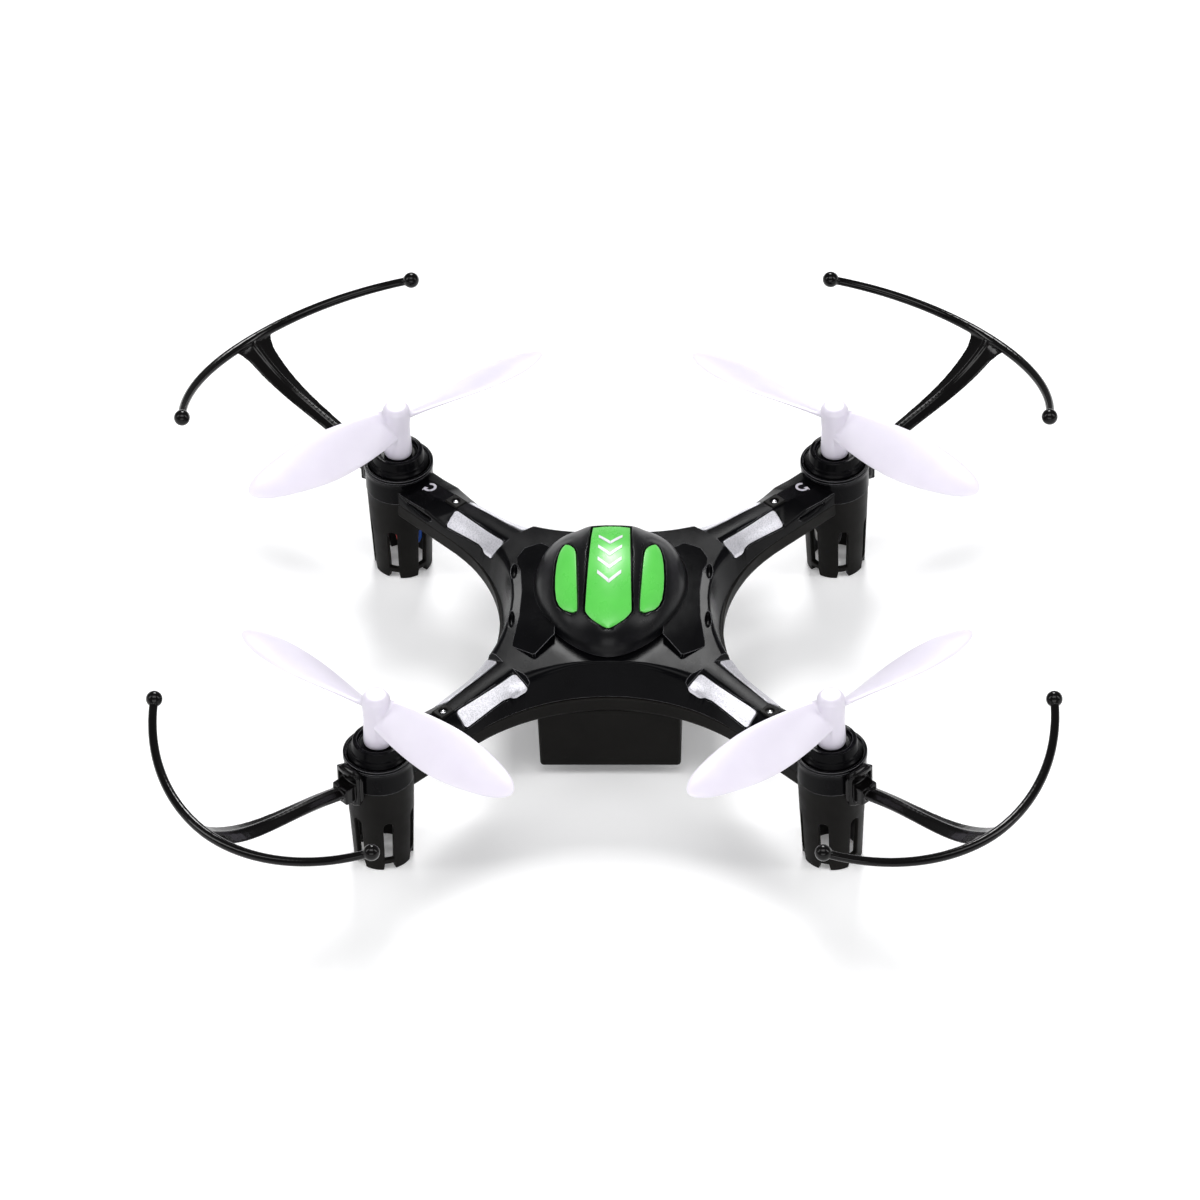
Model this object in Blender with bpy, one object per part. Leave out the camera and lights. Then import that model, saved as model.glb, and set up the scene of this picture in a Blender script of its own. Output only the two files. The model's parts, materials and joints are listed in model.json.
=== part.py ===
"""Palm-sized quadcopter drone: two X-shaped shells, a canopy, four motors with propellers and guards.

Metres, +Z up, origin on the ground in the middle of the four motor pods. The nose points to -Y.
Left is -X and right is +X, as seen by someone in front of the nose.
"""
import math

import bmesh
import bpy
from mathutils import Matrix, Vector
from mathutils.geometry import interpolate_bezier

MM = 0.001
GAP = 0.3 * MM
ROOT2 = math.sqrt(2)

# Layout
MOTOR_OFFSET = 33.5 * MM
CORNERS = {"front_left": (-1, -1), "front_right": (1, -1), "rear_left": (-1, 1), "rear_right": (1, 1)}
SPLIT_Z = 15.5 * MM
ROOF_Z = 21.2 * MM
ROOF_FALL = 0.089
ROOF_FLAT_REACH = 14 * MM

# Shells. Each outline is an X: arms of a half width, joined by round fillets to a waist.
WALL = 1.2 * MM
ARM_HALF = 3.6 * MM
RIM_WAIST = 16.9 * MM
SHOULDER_WAIST = 15.0 * MM
RIDGE_HALF = 1.35 * MM
SOFT_EDGE = 0.5 * MM
ARM_DROP = 1.6 * MM
BELLY_Z = 12.9 * MM
FLOOR_Z = 13.7 * MM
ARM_END = 45 * MM
STATIONS = [r * MM for r in (0, 13, 15, 17.5, 20.6, 21.2, 24, 28, 33.6)]
INLAY_START = 21.2 * MM
INLAY_END = 33.0 * MM
INLAY_THICK = 0.5 * MM

# Motor pods
POD_SIDES = 24
POD_RADIUS = 5.2 * MM
POD_FOOT_RADIUS = 4.45 * MM
POD_BORE = 4.15 * MM
POD_RIM_Z = 20.1 * MM
LEDGE_RADIUS = 4.9 * MM
LEDGE_Z = 19.6 * MM
WINDOW_HALF = 1.02 * MM
WINDOW_LOW = 2.0 * MM
WINDOW_HIGH = 9.4 * MM
NOTCH_HIGH = 1.2 * MM

# Motors, shafts and propellers
MOTOR_SIDES = 18
CAN_RADIUS = 3.0 * MM
CAN_LOW = 9.6 * MM
CAN_HIGH = 21.2 * MM
SHAFT_RADIUS = 0.5 * MM
BEARING_GAP = 0.08 * MM
COLLAR_LOW = 17.5 * MM
COLLAR_HIGH = 22.3 * MM
CAP_LOW = 8.4 * MM
SHAFT_LOW = 14 * MM
SHAFT_HIGH = 29.7 * MM
HUB_LOW = 21.7 * MM
HUB_HIGH = 31 * MM
BLADE_Z = 27.6 * MM
BLADE_REACH = 27.5 * MM
BLADE_CHORD = 8.4 * MM
BLADE_ANGLES = {"front_left": -41.5, "front_right": 41.5, "rear_left": 38.5, "rear_right": -37.5}

# Guards
BOW_END_REACH = 22.6 * MM
BOW_END_SIDE = 23.8 * MM
BOW_REACH = 33.6 * MM
BOW_LOW = 24.7 * MM
BOW_HIGH = 29.3 * MM
BOW_THICK = 0.7 * MM
BALL_RADIUS = 1.2 * MM
CLIP_INNER = POD_RADIUS + GAP
CLIP_OUTER = 6.7 * MM
CLIP_HALF_ANGLE = math.radians(24)

# Canopy
CANOPY_Z = ROOF_Z + GAP
CANOPY_HEIGHT = 7.0 * MM
CANOPY_HALF = 11.5 * MM
CANOPY_CENTRE = 1.5 * MM
CANOPY_NOSE = 15.5 * MM
CANOPY_TAIL = 12.0 * MM
CANOPY_WALL = 1.6 * MM

# Battery box, battery and board
BOX_HALF = 10.8 * MM
BOX_FRONT = -17.0 * MM
BOX_REAR = 16.8 * MM
BOX_LOW = 1.9 * MM
BOARD_LOW = 15.2 * MM
SCREW_PLACES = {"front_left": (-13.6, -6), "front_right": (13.6, -6), "rear_left": (-13.6, 6),
                "rear_right": (13.6, 6)}
WIRE_RADIUS = 0.25 * MM


# Helpers

def material(name, colour, roughness=0.5, metallic=0.0):
    made = bpy.data.materials.new(name)
    made.use_nodes = True
    shader = made.node_tree.nodes["Principled BSDF"]
    shader.inputs["Base Color"].default_value = (*colour, 1)
    shader.inputs["Roughness"].default_value = roughness
    shader.inputs["Metallic"].default_value = metallic
    return made


def add(name, data, look=None, location=(0, 0, 0), turn=0.0):
    """Put a mesh or curve in the scene as one object."""
    thing = bpy.data.objects.new(name, data)
    thing.location = location
    thing.rotation_euler.z = turn
    bpy.context.scene.collection.objects.link(thing)
    if look and not data.materials:
        data.materials.append(look)
    return thing


def mesh_of(bm, name, smooth=30):
    """Turn a bmesh into a mesh with its faces out, shaded smooth except at edges over an angle."""
    bmesh.ops.remove_doubles(bm, verts=bm.verts, dist=1e-6)
    bmesh.ops.recalc_face_normals(bm, faces=bm.faces)
    mesh = bpy.data.meshes.new(name)
    bm.to_mesh(mesh)
    bm.free()
    mesh.shade_smooth()
    mesh.set_sharp_from_angle(angle=math.radians(smooth))
    return mesh


def loft(bm, rings, closed=False):
    """Skin matching rings of points, with flat ends unless the last ring meets the first."""
    rows = [[bm.verts.new(point) for point in ring] for ring in rings]
    pairs = list(zip(rows, rows[1:]))
    if closed:
        pairs.append((rows[-1], rows[0]))
    for low, high in pairs:
        for i in range(len(low)):
            j = (i + 1) % len(low)
            bm.faces.new((low[i], low[j], high[j], high[i]))
    if not closed:
        bm.faces.new(rows[0])
        bm.faces.new(rows[-1])


def lathe(bm, profile, sides, centre=(0, 0)):
    """Turn a closed outline of (radius, height) points about a vertical line."""
    spokes = [2 * math.pi * (i + 0.5) / sides for i in range(sides)]
    rows = [[bm.verts.new((centre[0] + r * math.cos(a), centre[1] + r * math.sin(a), z)) for a in spokes]
            for r, z in profile]
    for k, (low, high) in enumerate(zip(rows, rows[1:] + rows[:1])):
        if profile[k][0] == 0 and profile[(k + 1) % len(profile)][0] == 0:
            continue
        for i in range(sides):
            j = (i + 1) % sides
            bm.faces.new((low[i], low[j], high[j], high[i]))
    bmesh.ops.remove_doubles(bm, verts=bm.verts, dist=1e-7)


def lathed(profile, sides, centre=(0, 0)):
    bm = bmesh.new()
    lathe(bm, profile, sides, centre)
    return bm


def box(bm, low, high):
    """A block between two corners."""
    middle = [(a + b) / 2 for a, b in zip(low, high)]
    size = [b - a for a, b in zip(low, high)]
    matrix = Matrix.Translation(middle) @ Matrix.Diagonal((*size, 1))
    bmesh.ops.create_cube(bm, size=1, matrix=matrix)


def boxed(*corners):
    """Separate blocks from (low, high) corner pairs in millimetres."""
    bm = bmesh.new()
    for low, high in corners:
        box(bm, [v * MM for v in low], [v * MM for v in high])
    return bm


def shape_with(target, bm, operation):
    """Add a bmesh's solids to an object, or cut them out of it."""
    tool = add(f"{target.name}_{operation.lower()}_{len(target.modifiers)}", mesh_of(bm, "tool"))
    tool.hide_render = True
    tool.display_type = "WIRE"
    modifier = target.modifiers.new(tool.name, "BOOLEAN")
    modifier.operation = operation
    modifier.solver = "EXACT"
    modifier.object = tool


def motor_place(corner, z=0.0):
    side, end = CORNERS[corner]
    return Vector((side * MOTOR_OFFSET, end * MOTOR_OFFSET, z))


def outward(corner):
    """Angle of the direction from the body's middle to this corner's motor."""
    side, end = CORNERS[corner]
    return math.atan2(end, side)


def on_arm(corner, along, across, z):
    """World place of a point given along and across a corner's arm."""
    angle = outward(corner)
    return Vector((along * math.cos(angle) - across * math.sin(angle),
                   along * math.sin(angle) + across * math.cos(angle), z))


def smooth_path(points, steps):
    """A smooth curve through the given points, with slopes that suit uneven spacing."""
    slopes = []
    for before, here, after in zip([points[0], *points], points, [*points[1:], points[-1]]):
        slopes.append((after - before) / ((here - before).length + (after - here).length))
    path = [points[0]]
    for a, b, leave, arrive in zip(points, points[1:], slopes, slopes[1:]):
        third = (b - a).length / 3
        path += interpolate_bezier(a, a + leave * third, b - arrive * third, b, steps + 1)[1:]
    return path


def wire(name, points, look, steps):
    curve = bpy.data.curves.new(name, "CURVE")
    curve.dimensions = "3D"
    curve.bevel_depth = WIRE_RADIUS
    curve.bevel_resolution = 2
    curve.use_fill_caps = True
    path = smooth_path(points, steps)
    spline = curve.splines.new("POLY")
    spline.points.add(len(path) - 1)
    for slot, point in zip(spline.points, path):
        slot.co = (*point, 1)
    return add(name, curve, look)


# X-shaped outlines

def arm_edge(station, arm, waist):
    """Distance along and half width of an arm's edge, where a fillet joins it to the waist."""
    fillet = (waist - ROOT2 * arm) / (ROOT2 - 1)
    along = max(station, waist / ROOT2)
    inward = max(0.0, arm + fillet - along)
    return along, arm + fillet - math.sqrt(fillet ** 2 - inward ** 2)


def roof(along):
    """Height of the arms' ridge, level over the body and falling towards the motors."""
    return ROOF_Z - ROOF_FALL * max(0.0, along - ROOF_FLAT_REACH)


def star(section, end):
    """An X-shaped solid from a function that gives half a cross-section, rim first and ridge last."""
    bm = bmesh.new()
    rim = []
    centre = []
    for corner in ("front_right", "rear_right", "rear_left", "front_left"):
        rows = []
        for station in [*STATIONS, end]:
            half = section(station)
            full = half[:-1] + half[-1:] + [(r, -w, z) for r, w, z in reversed(half[:-1])]
            rows.append([bm.verts.new(on_arm(corner, *point)) for point in full])
        for near, far in zip(rows, rows[1:]):
            for i in range(len(near) - 1):
                bm.faces.new((near[i], near[i + 1], far[i + 1], far[i]))
        bm.faces.new(rows[-1])
        rim += [row[-1] for row in rows] + [row[0] for row in reversed(rows)][:-1]
        middle = len(half) - 1
        centre += [rows[0][middle + 1], rows[0][middle]] if middle > 1 else [rows[0][-1], rows[0][middle]]
    bm.faces.new(rim)
    bm.faces.new(centre)
    bmesh.ops.remove_doubles(bm, verts=bm.verts, dist=1e-6)
    bmesh.ops.triangulate(bm, faces=bm.faces)
    return bm


def roof_section(station, inset=0.0):
    """Half a section of the upper shell's solid, or of its hollow when inset by the wall."""
    rim_z = FLOOR_Z - inset
    arm = ARM_HALF - inset
    rim = arm_edge(station, arm, RIM_WAIST - inset)
    shoulder = arm_edge(station, arm, SHOULDER_WAIST - inset)
    if station < INLAY_START:
        ridge = arm_edge(station, arm - SOFT_EDGE, SHOULDER_WAIST - inset - SOFT_EDGE)
        drop = SOFT_EDGE
    else:
        ridge = (station, RIDGE_HALF - 0.7 * inset)
        drop = ARM_DROP - 0.25 * inset
    top = [roof(ridge[0]) - inset, roof(shoulder[0]) - inset - drop]
    return [(*rim, rim_z), (*shoulder, top[1]), (*ridge, top[0]), (ridge[0], 0.0, top[0])]


def band_section(low, high, inset=0.0):
    """Half a section of an upright X-shaped band between two heights."""
    def section(station):
        edge = arm_edge(station, ARM_HALF - inset, RIM_WAIST - inset)
        return [(*edge, low), (*edge, high), (edge[0], 0.0, high)]
    return section


def slope_point(corner, side, station, share, lift):
    """A point on an arm's sloping side, from its ridge (share 0) to its shoulder (share 1)."""
    shoulder = arm_edge(station, ARM_HALF, SHOULDER_WAIST)[1]
    width = shoulder - RIDGE_HALF
    slant = math.hypot(width, ARM_DROP)
    across = RIDGE_HALF + share * width + lift * ARM_DROP / slant
    z = roof(station) - share * ARM_DROP + lift * width / slant
    return on_arm(corner, station, side * across, z)


def slope_patch(bm, corner, side, reach, shares, lifts):
    """A thin slab lying along an arm's sloping side, from (least, greatest) of each measure."""
    start, end = reach
    low_lift, high_lift = lifts
    stops = [start, *[s for s in STATIONS if start + MM < s < end - MM], end]
    loft(bm, [[slope_point(corner, side, s, shares[0], high_lift),
               slope_point(corner, side, s, shares[1], high_lift),
               slope_point(corner, side, s, shares[1], low_lift),
               slope_point(corner, side, s, shares[0], low_lift)] for s in stops])


# Shells

def halfspace(side):
    """Everything under the shells' parting gap (side -1), or everything over it (side 1)."""
    bm = bmesh.new()
    near = SPLIT_Z + side * -GAP / 2
    far = SPLIT_Z + side * 20 * MM
    box(bm, (-60 * MM, -60 * MM, min(near, far)), (60 * MM, 60 * MM, max(near, far)))
    return bm


def make_top_shell(look):
    shell = add("top_shell", mesh_of(star(roof_section, ARM_END), "top_shell", 25), look)
    rings = bmesh.new()
    bores = bmesh.new()
    for corner in CORNERS:
        place = motor_place(corner)[:2]
        lathe(rings, [(0, BELLY_Z), (POD_RADIUS, BELLY_Z), (POD_RADIUS, POD_RIM_Z), (0, POD_RIM_Z)],
              POD_SIDES, place)
        lathe(bores, [(0, FLOOR_Z), (POD_BORE, FLOOR_Z), (POD_BORE, LEDGE_Z), (LEDGE_RADIUS, LEDGE_Z),
                      (LEDGE_RADIUS, POD_RIM_Z + MM), (0, POD_RIM_Z + MM)], POD_SIDES, place)
    shape_with(shell, rings, "UNION")
    shape_with(shell, halfspace(-1), "DIFFERENCE")
    shape_with(shell, bores, "DIFFERENCE")
    shape_with(shell, star(lambda s: roof_section(s, WALL), ARM_END + MM), "DIFFERENCE")
    posts = bmesh.new()
    holes = bmesh.new()
    for x, y in SCREW_PLACES.values():
        place = (x * MM, y * MM)
        foot = SPLIT_Z + GAP
        lathe(posts, [(0, foot), (1.3 * MM, foot), (1.3 * MM, ROOF_Z - 0.7 * MM), (0, ROOF_Z - 0.7 * MM)],
              12, place)
        lathe(holes, [(0, FLOOR_Z), (0.8 * MM, FLOOR_Z), (0.8 * MM, ROOF_Z - 1.8 * MM),
                      (0, ROOF_Z - 1.8 * MM)], 12, place)
    shape_with(shell, posts, "UNION")
    shape_with(shell, holes, "DIFFERENCE")
    pockets = bmesh.new()
    for corner in CORNERS:
        for side in (-1, 1):
            slope_patch(pockets, corner, side, (INLAY_START + 0.2 * MM, INLAY_END + GAP),
                        (-0.02, 1.0), (-INLAY_THICK - 0.1 * MM, 0.8 * MM))
    shape_with(shell, pockets, "DIFFERENCE")


def window_cutters():
    """Slots and foot notches around each motor sleeve."""
    bm = bmesh.new()
    head = WINDOW_HIGH - 0.7 * MM
    slot = [(-WINDOW_HALF, WINDOW_LOW), (WINDOW_HALF, WINDOW_LOW), (WINDOW_HALF, head),
            (0.4 * WINDOW_HALF, WINDOW_HIGH), (-0.4 * WINDOW_HALF, WINDOW_HIGH), (-WINDOW_HALF, head)]
    notch = [(-WINDOW_HALF, -MM), (WINDOW_HALF, -MM), (0.8 * WINDOW_HALF, NOTCH_HIGH),
             (-0.8 * WINDOW_HALF, NOTCH_HIGH)]
    for corner in CORNERS:
        for k in range(6):
            turn = Matrix.Translation(motor_place(corner))
            turn @= Matrix.Rotation(outward(corner) + k * math.pi / 3, 4, "Z")
            for outline in (slot, notch):
                loft(bm, [[turn @ Vector((reach, y, z)) for y, z in outline]
                          for reach in (2.3 * MM, 7 * MM)])
    return bm


def make_bottom_shell(look):
    shell = add("bottom_shell",
                mesh_of(star(band_section(BELLY_Z, SPLIT_Z + MM), ARM_END), "bottom_shell", 25), look)
    top = SPLIT_Z + 2 * MM
    sleeves = bmesh.new()
    bores = bmesh.new()
    for corner in CORNERS:
        place = motor_place(corner)[:2]
        lathe(sleeves, [(0, 0), (POD_FOOT_RADIUS, 0), (POD_RADIUS, top), (0, top)], POD_SIDES, place)
        lathe(bores, [(0, -MM), (3.65 * MM, -MM), (3.75 * MM, 3 * MM), (POD_BORE, 8 * MM),
                      (POD_BORE, top + MM), (0, top + MM)], POD_SIDES, place)
    battery_box = bmesh.new()
    box(battery_box, (-BOX_HALF, BOX_FRONT, BOX_LOW), (BOX_HALF, BOX_REAR, BELLY_Z + GAP))
    shape_with(shell, sleeves, "UNION")
    shape_with(shell, battery_box, "UNION")
    shape_with(shell, boxed(((-12.2, -15.5, 11.8), (12.2, 15.5, 13.2))), "UNION")
    shape_with(shell, halfspace(1), "DIFFERENCE")
    shape_with(shell, star(band_section(FLOOR_Z, top + MM, WALL), ARM_END + MM), "DIFFERENCE")
    shape_with(shell, bores, "DIFFERENCE")
    shape_with(shell, boxed(((-9.2, -15.8, 3.1), (9.2, 20, 11.2))), "DIFFERENCE")
    shape_with(shell, boxed(((-2, -14.7, 10.5), (2, -12.1, 14.5))), "DIFFERENCE")
    shape_with(shell, window_cutters(), "DIFFERENCE")
    posts = bmesh.new()
    holes = bmesh.new()
    for x, y in SCREW_PLACES.values():
        place = (x * MM, y * MM)
        lathe(posts, [(0, BELLY_Z + GAP), (1.9 * MM, BELLY_Z + GAP), (1.9 * MM, SPLIT_Z - GAP),
                      (0, SPLIT_Z - GAP)], 12, place)
        lathe(holes, [(0, 10 * MM), (1.5 * MM, 10 * MM), (1.5 * MM, FLOOR_Z), (0.8 * MM, FLOOR_Z),
                      (0.8 * MM, top + MM), (0, top + MM)], 12, place)
        inner = math.copysign(8 * MM, x)
        lathe(posts, [(0, FLOOR_Z - GAP), (1 * MM, FLOOR_Z - GAP), (1 * MM, BOARD_LOW - GAP),
                      (0, BOARD_LOW - GAP)], 8, (inner, y * MM))
    shape_with(shell, posts, "UNION")
    shape_with(shell, holes, "DIFFERENCE")


def make_arm_inlays(look):
    for corner in CORNERS:
        for side, label in ((-1, "a"), (1, "b")):
            name = f"arm_inlay_{corner}_{label}"
            patch = bmesh.new()
            slope_patch(patch, corner, side, (INLAY_START + 0.5 * MM, INLAY_END),
                        (0.1, 0.9), (-INLAY_THICK + GAP / 2, GAP / 2))
            add(name, mesh_of(patch, name), look)


# Canopy

def canopy_share(x, y):
    """How far a plan point lies from the dome's middle (0) to its outline (1)."""
    dy = y - CANOPY_CENTRE
    reach, power = (CANOPY_NOSE, 1.7) if dy < 0 else (CANOPY_TAIL, 2.5)
    return (abs(x / CANOPY_HALF) ** power + abs(dy / reach) ** power) ** (1 / power)


def canopy_surface(x, y):
    share = min(canopy_share(x, y), 1.0)
    return Vector((x, y, CANOPY_Z + CANOPY_HEIGHT * math.sqrt(1 - share * share)))


def canopy_point(x, y, lift):
    """A point above or below the dome's surface, measured square to it."""
    step = 0.05 * MM
    across = canopy_surface(x + step, y) - canopy_surface(x - step, y)
    along = canopy_surface(x, y + step) - canopy_surface(x, y - step)
    return canopy_surface(x, y) + across.cross(along).normalized() * lift


def dome_rings(inset, steps, sides):
    """Rings of the dome from its rim to near its top, at a depth under its surface."""
    rings = []
    for k in range(steps):
        tilt = math.pi / 2 * k / steps
        ring = []
        for i in range(sides):
            angle = 2 * math.pi * i / sides
            x, y = math.cos(angle), math.sin(angle)
            reach = 1 / canopy_share(x, y + CANOPY_CENTRE) - inset
            z = CANOPY_Z + (CANOPY_HEIGHT - inset) * math.sin(tilt)
            ring.append(Vector((x * reach * math.cos(tilt), CANOPY_CENTRE + y * reach * math.cos(tilt), z)))
        rings.append(ring)
    return rings


def dome_patch(rows, low_lift, high_lift, columns=4):
    """A slab on the dome: each row is (y, least x, greatest x)."""
    bm = bmesh.new()
    rings = []
    for y, low, high in rows:
        xs = [low + (high - low) * k / columns for k in range(columns + 1)]
        rings.append([canopy_point(x, y, high_lift) for x in xs]
                     + [canopy_point(x, y, low_lift) for x in reversed(xs)])
    loft(bm, rings)
    return bm


def stripe_rows(margin=0.0):
    """Outline of the centre stripe: sides that spread slightly forward and a blunt point at the nose."""
    rows = [(y, 3.12 - 0.035 * y) for y in (9.8, 6.5, 3, -0.5, -4, -7, -8.4)]
    rows += [(-9.3, 3.2), (-10.2, 2.45), (-10.9, 1.6), (-11.6, 0.5)]
    rows = [[y * MM, half * MM + margin] for y, half in rows]
    rows[0][0] += margin
    rows[-1][0] -= margin
    return [(y, -half, half) for y, half in rows]


def inlay_rows(side, margin=0.0):
    """Outline of a side inlay: straight inner edge, bowed outer edge and rounded ends."""
    rows = [(5.1, 6.3, 7.1), (4.3, 5.7, 7.5), (2.9, 5.2, 7.8), (0.5, 5.05, 8.05), (-2.3, 4.93, 8.12),
            (-5.2, 4.79, 7.85), (-6.8, 4.71, 7.1), (-8.2, 4.7, 5.6)]
    rows = [[y * MM, inner * MM - margin, outer * MM + margin] for y, inner, outer in rows]
    rows[0][0] += margin
    rows[-1][0] -= margin
    return [(y, *sorted((side * inner, side * outer))) for y, inner, outer in rows]


def make_canopy(look, green):
    bm = bmesh.new()
    outer = dome_rings(0.0, 5, 28)
    inner = dome_rings(CANOPY_WALL, 4, 28)
    rows = [[bm.verts.new(p) for p in ring] for ring in [*reversed(inner), *outer]]
    for low, high in zip(rows, rows[1:]):
        for i in range(len(low)):
            j = (i + 1) % len(low)
            bm.faces.new((low[i], low[j], high[j], high[i]))
    for row, depth in ((rows[0], CANOPY_WALL), (rows[-1], 0.0)):
        pole = bm.verts.new((0, CANOPY_CENTRE, CANOPY_Z + CANOPY_HEIGHT - depth))
        for i in range(len(row)):
            bm.faces.new((row[i], row[(i + 1) % len(row)], pole))
    canopy = add("canopy", mesh_of(bm, "canopy", 50), look)
    pieces = {"canopy_stripe": stripe_rows, "canopy_inlay_left": lambda m=0.0: inlay_rows(-1, m),
              "canopy_inlay_right": lambda m=0.0: inlay_rows(1, m)}
    for name, outline in pieces.items():
        shape_with(canopy, dome_patch(outline(GAP), -0.8 * MM, 1.2 * MM), "DIFFERENCE")
        add(name, mesh_of(dome_patch(outline(), -0.5 * MM, 0.0), name, 50), green)


# Motors and propellers

def blade_rings(hand):
    """Sections of one blade from inside the hub to its rounded tip."""
    rings = []
    for share in (0.04, 0.12, 0.24, 0.38, 0.52, 0.66, 0.8, 0.9, 0.96, 1.0):
        swell = 0.55 + 0.45 * math.sin(math.pi / 2 * min(1.0, share / 0.58))
        taper = math.sqrt(max(0.03, 1 - max(0.0, (share - 0.45) / 0.55) ** 2.1))
        chord = BLADE_CHORD * swell * taper
        pitch = math.radians(52 - 38 * min(1.0, share * 1.25) ** 0.7)
        thick = (1.1 - 0.6 * share) * MM
        outline = []
        for along, side in ((-0.5, 0), (-0.25, 1), (0, 1), (0.25, 1), (0.5, 0), (0.25, -1), (0, -1), (-0.25, -1)):
            camber = 0.05 * chord * (1 - 4 * along * along)
            lift = camber + side * thick * (0.5 if along == 0 else 0.4)
            forward = along * chord
            outline.append((share * BLADE_REACH,
                            hand * (forward * math.cos(pitch) - lift * math.sin(pitch)),
                            forward * math.sin(pitch) + lift * math.cos(pitch)))
        rings.append(outline)
    return rings


def propeller_mesh(name, hand):
    """Two-blade propeller with its origin on its axis, at the blades' height. hand is 1 or -1."""
    low, high, grip = (z - BLADE_Z for z in (HUB_LOW, HUB_HIGH, SHAFT_HIGH + GAP))
    bore = SHAFT_RADIUS + GAP
    profile = [(bore, low), (2.15 * MM, low), (1.98 * MM, high - 0.5 * MM), (1.5 * MM, high), (0, high),
               (0, grip), (bore, grip)]
    hub = lathed(profile, 16)
    source = add(name, mesh_of(hub, name, 40))
    for turn in (0, math.pi):
        blade = bmesh.new()
        loft(blade, [[Matrix.Rotation(turn, 3, "Z") @ Vector(p) for p in ring] for ring in blade_rings(hand)])
        shape_with(source, blade, "UNION")
    return source


def make_motors(looks):
    bearing = SHAFT_RADIUS + BEARING_GAP
    can = mesh_of(lathed([(0, CAN_LOW), (CAN_RADIUS, CAN_LOW), (CAN_RADIUS, CAN_HIGH - GAP),
                          (CAN_RADIUS - GAP, CAN_HIGH), (bearing + GAP, CAN_HIGH), (bearing, CAN_HIGH - GAP),
                          (bearing, SHAFT_LOW - GAP), (0, SHAFT_LOW - GAP)], MOTOR_SIDES), "motor_can")
    cap = mesh_of(lathed([(0, CAP_LOW), (CAN_RADIUS - GAP, CAP_LOW), (CAN_RADIUS - GAP, CAN_LOW - GAP),
                          (0, CAN_LOW - GAP)], MOTOR_SIDES), "motor_end_cap")
    collar = mesh_of(lathed([(CAN_RADIUS + GAP, COLLAR_LOW), (POD_BORE - GAP, COLLAR_LOW),
                             (POD_BORE - GAP, LEDGE_Z + GAP), (LEDGE_RADIUS - GAP, LEDGE_Z + GAP),
                             (4.45 * MM, 20.5 * MM), (3.85 * MM, COLLAR_HIGH),
                             (CAN_RADIUS + GAP, COLLAR_HIGH)], MOTOR_SIDES), "motor_collar")
    shaft_middle = (SHAFT_LOW + SHAFT_HIGH) / 2
    half = (SHAFT_HIGH - SHAFT_LOW) / 2
    shaft = mesh_of(lathed([(0, -half), (SHAFT_RADIUS, -half), (SHAFT_RADIUS, half), (0, half)], 12),
                    "motor_shaft")
    for corner in CORNERS:
        add(f"motor_can_{corner}", can, looks["steel"], motor_place(corner))
        add(f"motor_end_cap_{corner}", cap, looks["ivory"], motor_place(corner))
        add(f"motor_collar_{corner}", collar, looks["gloss"], motor_place(corner))
        add(f"motor_shaft_{corner}", shaft, looks["bright"], motor_place(corner, shaft_middle))


def make_propellers(look):
    """Propellers on one diagonal are mirror images of those on the other."""
    for corner, (side, end) in CORNERS.items():
        prop = propeller_mesh(f"propeller_{corner}", side * end)
        prop.data.materials.append(look)
        prop.location = motor_place(corner, BLADE_Z)
        prop.rotation_euler.z = math.radians(BLADE_ANGLES[corner])
        for modifier in prop.modifiers:
            modifier.object.parent = prop


# Guards

def strut_height(share):
    """The strut leaves the clip almost level and curls up into the bow."""
    return (16 + 3 * (1 - (1 - share) ** 3) + 5.7 * share ** 4.2) * MM


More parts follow.
